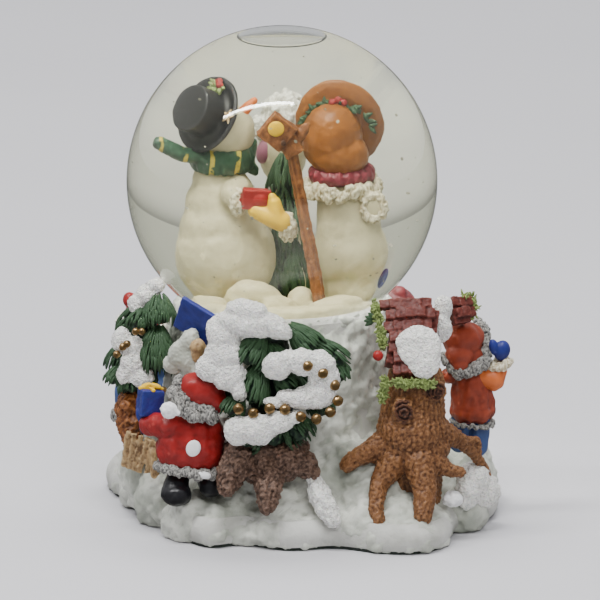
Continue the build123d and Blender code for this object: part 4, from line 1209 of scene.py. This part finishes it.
def make_roof():
    rng = random.Random(12)
    clay = Clay()
    shingle_panel(clay, (30.6, -35.5, 77.0), (18.6, 0.5, 0.8), (5.0, -12.8, -22), 7, 5, 2.6, 0.3, rng)
    shingle_panel(clay, (53.6, -24, 75.2), (7.4, 5.0, -0.5), (0.3, -2.8, -6.8), 2, 3, 2.2, 0.0, rng)
    clay.slab((41.5, -38.5, 65), (14.5, 6, 20), (-29, 10, 0))
    clay.slab((56.0, -22.5, 70), (6, 6, 8), (-22, 0, 30))
    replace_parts(cast("shingles", clay, (0.3, 1), BRICK, (0.25, 1.6, 6.0)), "shingle_roof")

    snow = snow_form(
        "roof_snow_patch",
        [
            ((43.6, -46.2, 64.4), (7.2, 2.2, 7.0), (-29, 0, 0)),
            ((45.2, -47.6, 60.6), (5.6, 2.2, 6.6), (-29, 0, 0)),
            ((40.4, -45.6, 65.6), (4.4, 1.9, 4.0), (-29, 0, 0)),
            ((51.6, -28.0, 72.6), (2.8, 3.6, 4.2)),
            ((51.0, -30.0, 66.5), (3.4, 3.0, 5.0)),
        ],
        3.0,
        lump=0.4,
    )
    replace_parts(snow, "roof_snow")
    make_moss(rng)


def make_moss(rng):
    """Moss along the edges of the roof."""
    moss_lines = []
    sprays = [
        ((29.6, -36, 77), (32.4, -43.5, 63.5), 260),
        ((36, -49.5, 53.5), (48, -50, 53.0), 260),
        ((33.0, -47.5, 54.0), (32.0, -47, 47.0), 150),
        ((61.0, -19.5, 74.5), (61.0, -21.5, 68), 110),
        ((58.0, -22.5, 74.6), (60.5, -20.0, 74.8), 40),
    ]
    for start, end, count in sprays:
        start, end = Vector(start), Vector(end)
        for _ in range(count):
            foot = start.lerp(end, rng.random()) + Vector([rng.gauss(0, 0.55) for _ in range(3)])
            away = Vector((rng.gauss(0, 1), rng.gauss(-0.8, 0.6), rng.gauss(0, 1))).normalized()
            tip = foot + away * rng.uniform(1.2, 2.0)
            moss_lines.append([(foot, 0.34), (foot + away * 0.8, 0.4), (tip, 0.15)])
    moss = piece("moss_edging", spindles("moss_edging", moss_lines, 5), MOSS)
    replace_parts(moss, "roof_garland")


def make_roof_berry():
    """Leaf and berry at the corners of the roof."""
    stem = Vector((29.4, -38, 71))
    leaf = []
    for turn in (-0.5, 0.0, 0.5, 1.0):
        away = Vector((-math.cos(turn), -0.3, math.sin(turn)))
        leaf.append([(stem, 0.6), (stem + away * 1.6, 1.0), (stem + away * 3.2, 0.3)])
    piece("roof_leaf", spindles("roof_leaf", leaf, 6), GREEN)
    clay = Clay().ball((30.6, -47.0, 61.6), 1.7)
    cast("roof_berry", clay, (0.2, 1), RED)


# ---------------------------------------------------------------- children
def fur_band(name, spots, radius, material, seed):
    """Lumpy fur roll along a list of points."""
    rng = random.Random(seed)
    clay = Clay()
    for start, end in zip(spots, spots[1:]):
        start, end = Vector(start), Vector(end)
        count = max(2, int((end - start).length / 0.8))
        for k in range(count):
            spot = start.lerp(end, k / count) + Vector([rng.gauss(0, radius * 0.22) for _ in range(3)])
            clay.ball(spot, radius * rng.uniform(0.7, 1.05))
    return cast(name, clay, (0.32, 1), material, (0.45, 0.9, seed))


def ellipse(centre, radii, tilt, count=18):
    """Points round a tilted ellipse, the first one repeated at the end."""
    turn = Euler([math.radians(a) for a in tilt]).to_matrix()
    points = []
    for k in range(count + 1):
        angle = math.radians(360 * k / count)
        points.append(
            Vector(centre) + turn @ Vector((radii[0] * math.cos(angle), radii[1] * math.sin(angle), 0))
        )
    return points


def folds(mesh, centre, count, depth):
    """Soft cloth folds that run down a coat."""

    def depth_at(spot):
        turn = math.atan2(spot.y - centre[1], spot.x - centre[0])
        ripple = math.sin(turn * count + 1.5 * noise.noise(spot / 7.0))
        return depth * ripple * noise.noise(spot / 5.0 + Vector((3, 1, 2)))

    return carve(mesh, depth_at)


def make_front_child():
    x, y = -29.5, -44.5
    clay = Clay()
    clay.ball((x + 0.5, y, 30.5), (11.2, 8.6, 8.4))
    clay.ball((x + 0.5, y, 36.5), (9.6, 7.6, 6.4))
    clay.ball((x + 0.5, y - 0.3, 33.4), (10.6, 8.3, 6.0))
    clay.path([((x - 6, y - 2, 38.5), 4.6), ((x - 10.5, y + 1, 38.0), 3.8), ((x - 13.0, y + 4, 37.2), 3.2)])
    clay.path([((x + 6, y, 37.5), 4.4), ((x + 8.4, y + 4, 34), 3.6)])
    coat = folds(clay.fire(0.42, 5), (x, y), 6, 0.8)
    roughen(coat, 0.25, 3.0, 2.0)
    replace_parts(piece("front_coat", coat, RED), "front_child_coat")
    clay = Clay().ball((-28.1, y - 8.8, 32.8), (2.4, 1.0, 2.8), (0, 20, 0))
    clay.ball((x + 4.6, y - 7.8, 23.8), (2.5, 1.4, 1.3), (0, 10, 0))
    cast("coat_patches", clay, (0.28, 1), WHITE)
    hem = ellipse((x + 0.4, y + 0.2, 24.2), (10.2, 7.8), (0, 4, 0))
    fur_band("front_hem", hem, 1.7, GREY_FUR, 3)

    clay = Clay()
    clay.path([((x - 3.6, y + 1, 21), 3.6), ((x - 4.4, y - 2.5, 18), 4.2)])
    clay.ball((x - 4.2, y - 3.4, 16.4), (5.0, 5.6, 4.0), (0, 8, 10))
    clay.path([((x + 5.2, y + 1, 22), 3.6), ((x + 6.2, y - 0.5, 20), 3.8)])
    clay.ball((x + 6.8, y - 1.4, 18.6), (3.8, 5.0, 3.6), (0, -12, 0))
    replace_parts(cast("front_boots", clay, (0.4, 4), BLACK, (0.3, 3.0, 5.0)), "front_child_legs")

    clay = Clay()
    clay.ball((x + 1.0, y + 0.2, 46.5), (6.4, 6.2, 6.4))
    cast("front_face", clay, (0.4, 2), SKIN)
    clay = Clay()
    clay.ball((-25.4, -46.6, 50.2), (7.8, 6.2, 5.4), (0, 22, 0))
    clay.ball((-21.6, -47.6, 47.0), (4.6, 4.0, 4.0), (0, 30, 0))
    cap = folds(clay.fire(0.38, 4), (x + 3, y), 4, 0.7)
    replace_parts(piece("front_cap", cap, RED), "front_child_head")
    band = [
        (-32.6, -47.0, 53.4),
        (-33.6, -48.6, 50.4),
        (-33.0, -50.2, 47.4),
        (-31.0, -51.2, 44.6),
        (-27.4, -51.8, 42.9),
        (-23.5, -51.4, 42.7),
        (-20.4, -50.0, 43.8),
    ]
    fur_band("front_cap_fur", band, 2.2, GREY_FUR, 7)
    brow = [(-31.6, -48.4, 50.0), (-30.0, -50.2, 46.8), (-26.6, -51.0, 45.2), (-22.6, -50.8, 44.6)]
    fur_band("front_brow_fur", brow, 2.0, GREY_FUR, 9)
    clay = Clay().ball((-35.8, -52.4, 45.1), (2.8, 2.4, 2.7))
    clay.ball((-33.2, -52.6, 44.6), 1.4)
    cast("pompom", clay, (0.3, 1), WHITE, (0.35, 1.2, 4.0))


def make_gift():
    """Blue mitten, the gift it holds and the ribbon."""
    clay = Clay()
    clay.ball((-44.0, -38.5, 40.0), (2.6, 2.6, 3.4), (0, -18, 0))
    clay.ball((-43.2, -39.5, 36.2), (2.4, 2.6, 2.4))
    mitten = cast("front_mitten_skin", clay, (0.32, 3), BLUE)
    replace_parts(mitten, "front_child_mitten")

    clay = Clay().slab((-42.0, -38.6, 44.4), (7.4, 6.6, 8.4), (0, 6, 16))
    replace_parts(cast("gift", clay, (0.32, 2), BLUE, (0.2, 2.6, 2.0)), "gift_box")
    clay = Clay()
    clay.slab((-41.8, -38.6, 48.8), (8.0, 1.2, 0.9), (0, 6, 16))
    clay.slab((-41.8, -38.6, 48.8), (1.2, 7.2, 0.9), (0, 6, 16))
    clay.ball((-40.2, -39.0, 49.6), (2.0, 1.0, 0.9), (0, 20, 0))
    clay.ball((-43.4, -38.6, 49.6), (2.0, 1.0, 0.9), (0, -20, 0))
    cast("gift_ribbon", clay, (0.22, 1), YELLOW)


def make_right_child():
    x, y = 61.0, -16.5
    clay = Clay()
    clay.path([((x, y, 45.5), 6.2), ((x + 0.2, y, 38.5), 7.0)])
    clay.ball((x + 0.3, y, 36.0), (7.6, 7.2, 4.4))
    clay.path([((x - 4.5, y - 1, 49), 3.0), ((x - 7.5, y - 2, 48), 2.6)])
    coat = folds(clay.fire(0.42, 5), (x, y), 6, 0.9)
    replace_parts(piece("right_coat", roughen(coat, 0.25, 3.0, 4.0), RUST), "right_child_coat")
    clay = Clay().path(
        [((x + 3.5, y - 2, 47.5), 3.2), ((68.2, y - 2.5, 46.4), 3.3), ((70.0, y - 1.5, 49.5), 2.5)]
    )
    piece("right_sleeve", folds(clay.fire(0.38, 3), (x + 7, y), 5, 0.5), ORANGE)
    cuff = ellipse((70.2, -18.0, 51.4), (2.8, 2.4), (0, -14, 0), count=12)
    fur_band("right_cuff_fur", cuff, 1.6, CREAM_FUR, 5)
    clay = Clay()
    clay.ball((70.6, -18.2, 56.2), (2.7, 2.5, 3.4), (0, 14, 0))
    clay.ball((68.0, -18.8, 57.4), (1.6, 1.6, 2.8), (0, -12, 0))
    mitten = cast("right_mitten_skin", clay, (0.32, 3), BLUE)
    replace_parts(mitten, "right_child_mitten")

    hood = Clay()
    hood.ball((58.0, y - 1.0, 60.0), (6.8, 6.2, 5.8))
    hood.ball((57.0, y - 4.6, 55.6), (4.6, 3.4, 3.8))
    hood.ball((57.4, y - 6.0, 52.8), (2.4, 2.0, 2.6))
    hood.ball((61.0, y - 0.5, 54.5), (4.6, 4.6, 4.6))
    skin = folds(hood.fire(0.4, 4), (x - 2, y), 4, 0.9)
    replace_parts(piece("right_hood", skin, RUST), "right_child_head")
    clay = Clay().ball((x - 0.6, y + 3.0, 58.2), (5.4, 5.0, 5.6))
    cast("right_face", clay, (0.4, 2), SKIN)
    band = [
        (51.9, -18.0, 54.4),
        (53.9, -21.0, 52.0),
        (56.5, -22.6, 50.4),
        (59.4, -23.0, 49.8),
        (62.6, -21.6, 50.8),
        (64.8, -19.4, 53.4),
        (65.6, -16.6, 57.4),
        (64.8, -14.0, 61.4),
        (62.4, -12.4, 64.4),
    ]
    fur_band("right_hood_fur", band, 2.0, GREY_FUR, 13)
    fur_band("right_hem", ellipse((x + 0.4, y + 0.2, 32.0), (6.6, 6.2), (0, 4, 0)), 1.0, GREY_FUR, 17)
    clay = Clay()
    clay.path([((x - 3.6, y, 32), 3.4), ((x - 4.0, y - 0.4, 25.5), 3.3)])
    clay.path([((x + 2.6, y, 32), 3.4), ((x + 2.4, y - 0.6, 24), 3.2)])
    skin = folds(clay.fire(0.4, 4), (x, y), 5, 0.6)
    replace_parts(piece("right_trousers", skin, DENIM), "right_child_legs")


def make_far_child(name, x, y, foot, size, coat_paint, cap_paint, hand, tip, seed):
    """Child that the globe hides from the front: outward-facing figure in a coat and a fur-brimmed cap."""

    def at(dx, dy, dz):
        return (x + dx * size, y + dy * size, foot + dz * size)

    clay = Clay()
    clay.ball(at(0, 0, 15), (9.4 * size, 8.8 * size, 8.6 * size))
    clay.ball(at(0, 0, 22.5), (7.4 * size, 7.0 * size, 7.0 * size))
    clay.path([(at(3, 2, 25), 3.4 * size), (at(8, 6, 22), 3.1 * size)])
    clay.path([(at(-3, 2, 25), 3.4 * size), (hand, 3.0 * size)])
    coat = folds(clay.fire(0.48, 5), (x, y), 6, 0.9)
    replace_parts(piece(name + "_coat", coat, coat_paint), name + "_body")
    clay = Clay()
    for side in (-1, 1):
        clay.path([(at(3.6 * side, 0, 9), 3.5 * size), (at(3.8 * side, 1, 2.5), 3.5 * size)])
        clay.ball(at(3.8 * side, 2.4, 2.6), (3.4 * size, 5.0 * size, 2.8 * size))
    cast(name + "_boots", clay, (0.45, 4), BLACK)
    clay = Clay()
    clay.ball(at(0, 0.4, 33), (6.4 * size, 6.2 * size, 6.4 * size))
    clay.ball(at(0, 6.4, 32.4), (1.0 * size, 1.0 * size, 0.9 * size))
    cast(name + "_face", clay, (0.4, 2), SKIN)
    clay = Clay()
    for side in (-1, 1):
        clay.ball(at(2.2 * side, 6.1, 34.2), 0.62 * size)
    cast(name + "_eyes", clay, (0.2, 1), BLACK)
    clay = Clay()
    clay.ball(at(0, -0.8, 37.4), (6.6 * size, 6.2 * size, 5.0 * size))
    clay.path([(at(-1, -1, 39.0), 3.6 * size), (tip, 2.2 * size)])
    cap = folds(clay.fire(0.42, 4), (x, y), 4, 0.8)
    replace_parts(piece(name + "_cap", cap, cap_paint), name + "_head")
    brim = ellipse(at(0, 0, 36.0), (6.8 * size, 6.6 * size), (10, 0, 0))
    fur_band(name + "_brim", brim, 1.8 * size, WHITE_FUR, seed)
    fur_band(
        name + "_hem",
        ellipse(at(0, 0, 8.2), (8.8 * size, 8.2 * size), (0, 0, 0)),
        1.7 * size,
        GREY_FUR,
        seed + 1,
    )
    clay = Clay().ball(hand, 3.6 * size)
    clay.ball(at(8.6, 6.8, 21.2), 3.4 * size)
    cast(name + "_mittens", clay, (0.4, 3), BLUE, (0.3, 2.0, 3.0))


def ball_form(around=24, down=14):
    """Points and faces of a ball of radius 1."""
    points = [(0, 0, 1)]
    for i in range(1, down):
        lean = math.pi * i / down
        for turn in turns(around):
            points.append((math.sin(lean) * math.cos(turn), math.sin(lean) * math.sin(turn), math.cos(lean)))
    points.append((0, 0, -1))
    last = len(points) - 1
    faces = []
    for k in range(around):
        after = (k + 1) % around
        faces.append((0, 1 + k, 1 + after))
        for i in range(down - 2):
            row = 1 + i * around
            faces.append((row + k, row + around + k, row + around + after, row + after))
        row = 1 + (down - 2) * around
        faces.append((row + k, last, row + after))
    return np.array(points), faces


BALL_POINTS, BALL_FACES = ball_form()


CUBE_POINTS = np.array([(x, y, z) for x in (-0.5, 0.5) for y in (-0.5, 0.5) for z in (-0.5, 0.5)])


CUBE_FACES = [(0, 1, 3, 2), (4, 6, 7, 5), (0, 4, 5, 1), (2, 3, 7, 6), (0, 2, 6, 4), (1, 5, 7, 3)]


def tube_form(line, sides):
    """Points and faces of a closed tube through (point, radius) pairs."""
    way = line[-1][0] - line[0][0]
    across = way.orthogonal().normalized()
    other = way.normalized().cross(across)
    points = []
    for centre, radius in line:
        for turn in turns(sides):
            points.append(centre + across * (radius * math.cos(turn)) + other * (radius * math.sin(turn)))
    faces = [tuple(range(sides - 1, -1, -1))]
    for ring in range(len(line) - 1):
        low = ring * sides
        for k in range(sides):
            after = (k + 1) % sides
            faces.append((low + k, low + after, low + sides + after, low + sides + k))
    faces.append(tuple(range((len(line) - 1) * sides, len(line) * sides)))
    return np.array(points), faces


def together(name, *meshes):
    """One mesh from several."""
    whole = Clay()
    for mesh in meshes:
        whole.add_mesh(mesh)
    joined = bpy.data.meshes.new(name)
    joined.from_pydata(np.concatenate(whole.points).tolist(), [], whole.faces)
    return joined


def fuzz(name, centre, radii, tuft_r, count, material, seed, voxel=0.35):
    """Ball of small tufts."""
    rng = random.Random(seed)
    clay = Clay()
    for _ in range(count):
        away = Vector([rng.gauss(0, 1) for _ in range(3)]).normalized()
        spot = Vector(centre) + Vector([a * r for a, r in zip(away, radii)])
        clay.ball(spot, tuft_r * rng.uniform(0.75, 1.2))
    clay.ball(centre, radii)
    return cast(name, clay, (voxel, 1), material, (0.45, 0.9, seed))


def make_far_faces():
    """Plain snowman faces on the side away from the front."""
    clay = Clay().ball((13.6, 4.4, 115.0), (6.0, 5.6, 6.0))
    cast("snow_lady_face", clay, (0.35, 2), CREAM)
    clay = Clay()
    for eye in (
        (11.5, 9.7, 116.4), (15.7, 9.7, 116.4), (-1.6, 21.9, 112.4), (2.0, 21.9, 112.4), (-8.9, 6.5, 123.0)
    ):
        clay.ball(eye, 0.75)
    cast("snow_eyes", clay, (0.2, 1), BLACK)
    clay = Clay()
    clay.path([((13.6, 9.4, 114.6), 1.2), ((13.4, 13.6, 114.4), 0.5)])
    clay.path([((0.2, 22.0, 110.6), 1.0), ((0.2, 25.2, 110.4), 0.45)])
    cast("snow_noses", clay, (0.22, 1), CARROT)


def make_flakes():
    """Loose flakes that hang in the liquid and lie on the ground."""
    rng = random.Random(77)
    lines = []
    while len(lines) < 110:
        spot = Vector([rng.uniform(-44, 44) for _ in range(3)])
        if spot.length > 45 or (spot.length < 36 and spot.y > -30) or spot.z < -27:
            continue
        spot.z += GLOBE_Z
        facing = Vector([rng.gauss(0, 1) for _ in range(3)]).normalized()
        size = rng.choice((0.25, 0.3, 0.35, 0.45, 0.6))
        lines.append([(spot, size), (spot + facing * 0.08, size)])
    piece("glitter_flakes", spindles("glitter_flakes", lines, 6), FLAKE, smooth=False)


def bough(top, tip, width, flat, count, radius, rng):
    """Strokes of one hanging bough: a thatched bell from its top to its ragged tip."""
    top, tip = Vector(top), Vector(tip)
    way = tip - top
    side = way.cross(Vector((0, 1, 0))).normalized()
    front = side.cross(way).normalized()

    def spot(t, turn):
        reach = width * (0.22 + 0.78 * math.sin(math.pi * min(t, 0.95) / 1.5))
        return top + way * t + side * (reach * math.cos(turn)) + front * (reach * flat * math.sin(turn))

    strokes = []
    for _ in range(count):
        turn = rng.uniform(0, math.tau)
        start = rng.uniform(0.0, 0.62)
        length = rng.uniform(0.26, 0.42)
        twist = rng.uniform(-0.16, 0.16)
        thick = radius * rng.uniform(0.8, 1.2)
        line = []
        for share, slim in ((0.0, 0.55), (0.35, 1.0), (0.75, 0.85), (1.0, 0.3)):
            line.append((spot(start + length * share, turn + twist * share), thick * slim))
        strokes.append(line)
    return strokes


def make_boughs(name, places, core, node, seed, radius):
    """Fir foliage from (top, tip, width, count) boughs over a dark core."""
    rng = random.Random(seed)
    strokes = []
    for top, tip, width, count in places:
        strokes += bough(top, tip, width, 0.75, count, radius, rng)
        middle = Vector(top).lerp(Vector(tip), 0.55)
        way = Vector(tip) - Vector(top)
        turn = way.to_track_quat("Z", "Y").to_euler()
        core.ball(middle, (width * 0.72, width * 0.55, way.length * 0.36), [math.degrees(a) for a in turn])
    inside = roughen(core.fire(0.55, 1), 0.5, 1.4, 1.0)
    foliage = together(name, spindles(name, strokes, 5), inside)
    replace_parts(piece(name, foliage, GREEN), node)


def snow_form(name, lobes, seed, material=None, lump=0.5):
    """Lump of snow from lobes, each what Clay.ball takes; glitter snow unless a material is given."""
    clay = Clay()
    for lobe in lobes:
        clay.ball(*lobe)
    skin = clay.fire(SNOW_VOXEL, 9)
    roughen(skin, lump, 3.6, seed)
    roughen(skin, 0.3, 0.85, seed + 1)
    return piece(name, skin, material or GLITTER)


# ---------------------------------------------------------------- CAD nodes that stay
def dress_cad():
    paints = {
        "base_casting": DRUM,
        "neck_plug": RUBBER,
        "felt_ring": FELT,
        "bottom_cover": COVER,
        "base_screws": STEEL,
        "movement_bedplate": ZINC,
        "spring_housing": STEEL,
        "mainspring": SPRING,
        "drive_wheel": BRASS,
        "winding_key": STEEL,
        "music_cylinder": BRASS,
        "cylinder_brackets": STEEL,
        "steel_comb": STEEL,
        "comb_screws": STEEL,
        "governor_frame": STEEL,
        "governor_wheel": ACETAL,
        "governor_fly": BRASS,
    }
    for name, material in paints.items():
        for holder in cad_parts[name].material_slots:
            holder.material = material


# ---------------------------------------------------------------- floor, light and camera
def make_floor():
    """Paper floor, darkened only where the object's gloss mirrors it."""
    reach = 4.0
    corners = [(-reach, -reach, 0), (reach, -reach, 0), (reach, reach, 0), (-reach, reach, 0)]
    mesh = bpy.data.meshes.new("floor")
    mesh.from_pydata(corners, [], [(0, 1, 2, 3)])
    shader = Shader("floor_paper")
    tone = shader.ramp(shader.noise(300.0), [(0.3, (0.55, 0.545, 0.57)), (0.7, (0.58, 0.575, 0.6))])
    path = shader.node("ShaderNodeLightPath")
    mirrored_only = shader.node("ShaderNodeMath")
    mirrored_only.operation = "SUBTRACT"
    mirrored_only.use_clamp = True
    shader.link(path.outputs["Is Glossy Ray"], mirrored_only.inputs[0])
    shader.link(path.outputs["Is Transmission Ray"], mirrored_only.inputs[1])
    dimmed = shader.mix(tone, (0.06, 0.06, 0.06), mirrored_only.outputs[0])
    mesh.materials.append(shader.finish(dimmed, None, 0.8))
    floor = bpy.data.objects.new("floor", mesh)
    bpy.context.scene.collection.objects.link(floor)


def make_world():
    """Soft grey light, stronger from the back than from the front."""
    world = bpy.data.worlds.new("studio")
    bpy.context.scene.world = world
    world.use_nodes = True
    nodes = world.node_tree.nodes
    coords = nodes.new("ShaderNodeTexCoord")
    split = nodes.new("ShaderNodeSeparateXYZ")
    spread = nodes.new("ShaderNodeMapRange")
    for field, value in (("From Min", -1.0), ("From Max", 0.6), ("To Min", 0.14), ("To Max", 0.82)):
        spread.inputs[field].default_value = value
    links = world.node_tree.links
    links.new(coords.outputs["Generated"], split.inputs["Vector"])
    links.new(split.outputs["Y"], spread.inputs["Value"])
    links.new(spread.outputs["Result"], nodes["Background"].inputs["Strength"])
    nodes["Background"].inputs["Color"].default_value = (0.84, 0.85, 0.88, 1)


def make_lamps():
    """Narrow strip that shows in the glass, and two soft lamps that do not."""
    for name, place, lean, length, width, power, mirrored in (
        ("strip", (-0.38, -0.38, 1.21), (19, 0), 1.07, 0.045, 18.0, True),
        ("front", (0.3, -1.1, 0.9), (56, 15), 0.5, 0.5, 9.0, False),
        ("backdrop", (0.0, 0.5, 1.6), (10, 0), 1.6, 0.8, 26.0, False),
    ):
        lamp = bpy.data.lights.new(name, "AREA")
        lamp.shape = "RECTANGLE"
        lamp.size = length
        lamp.size_y = width
        lamp.energy = power
        obj = bpy.data.objects.new(name, lamp)
        obj.location = place
        obj.rotation_euler = (math.radians(lean[0]), 0, math.radians(lean[1]))
        obj.visible_glossy = mirrored
        obj.visible_transmission = mirrored
        bpy.context.scene.collection.objects.link(obj)


def make_camera():
    lens_per_metre = 186
    camera = bpy.data.objects.new("camera", bpy.data.cameras.new("camera"))
    target = Vector((5.8, 0.0, 68.5)) * MM
    elevation = math.radians(13.5)
    distance = 3.0
    away = Vector((0, -math.cos(elevation), math.sin(elevation)))
    camera.location = target + away * distance
    camera.rotation_euler = (-away).to_track_quat("-Z", "Y").to_euler()
    camera.data.sensor_width = 36
    camera.data.lens = lens_per_metre * distance
    camera.data.clip_end = 20
    bpy.context.scene.collection.objects.link(camera)
    bpy.context.scene.camera = camera


make_globe()
make_bubble_rim()
make_inner_ground()
make_snowman(-13.3, 2.0)
make_snow_lady(15.8, 1.5)
make_mittens()
make_birdhouse()
make_inner_fir()
make_snow_child()
make_far_faces()
make_flakes()
make_bank()
make_bank_glitter()
make_front_trunk()
make_front_boughs()
make_front_snow()
make_left_trunk()
make_left_boughs()
make_left_snow()
make_sawn_branch()
make_beads()
make_stump()
make_roof()
make_roof_berry()
make_front_child()
make_gift()
make_right_child()
make_far_child("back_left_child", -44, 26, 14, 1.15, DENIM, RED, (-35, 30, 44), (-49.5, 21.5, 63.5), 41)
make_far_child("back_right_child", 36, 34, 14, 1.2, MOSS, DARK_RED, (27.5, 38, 45.5), (38.0, 30.5, 63.5), 57)
dress_cad()
make_floor()
make_world()
make_lamps()
make_camera()
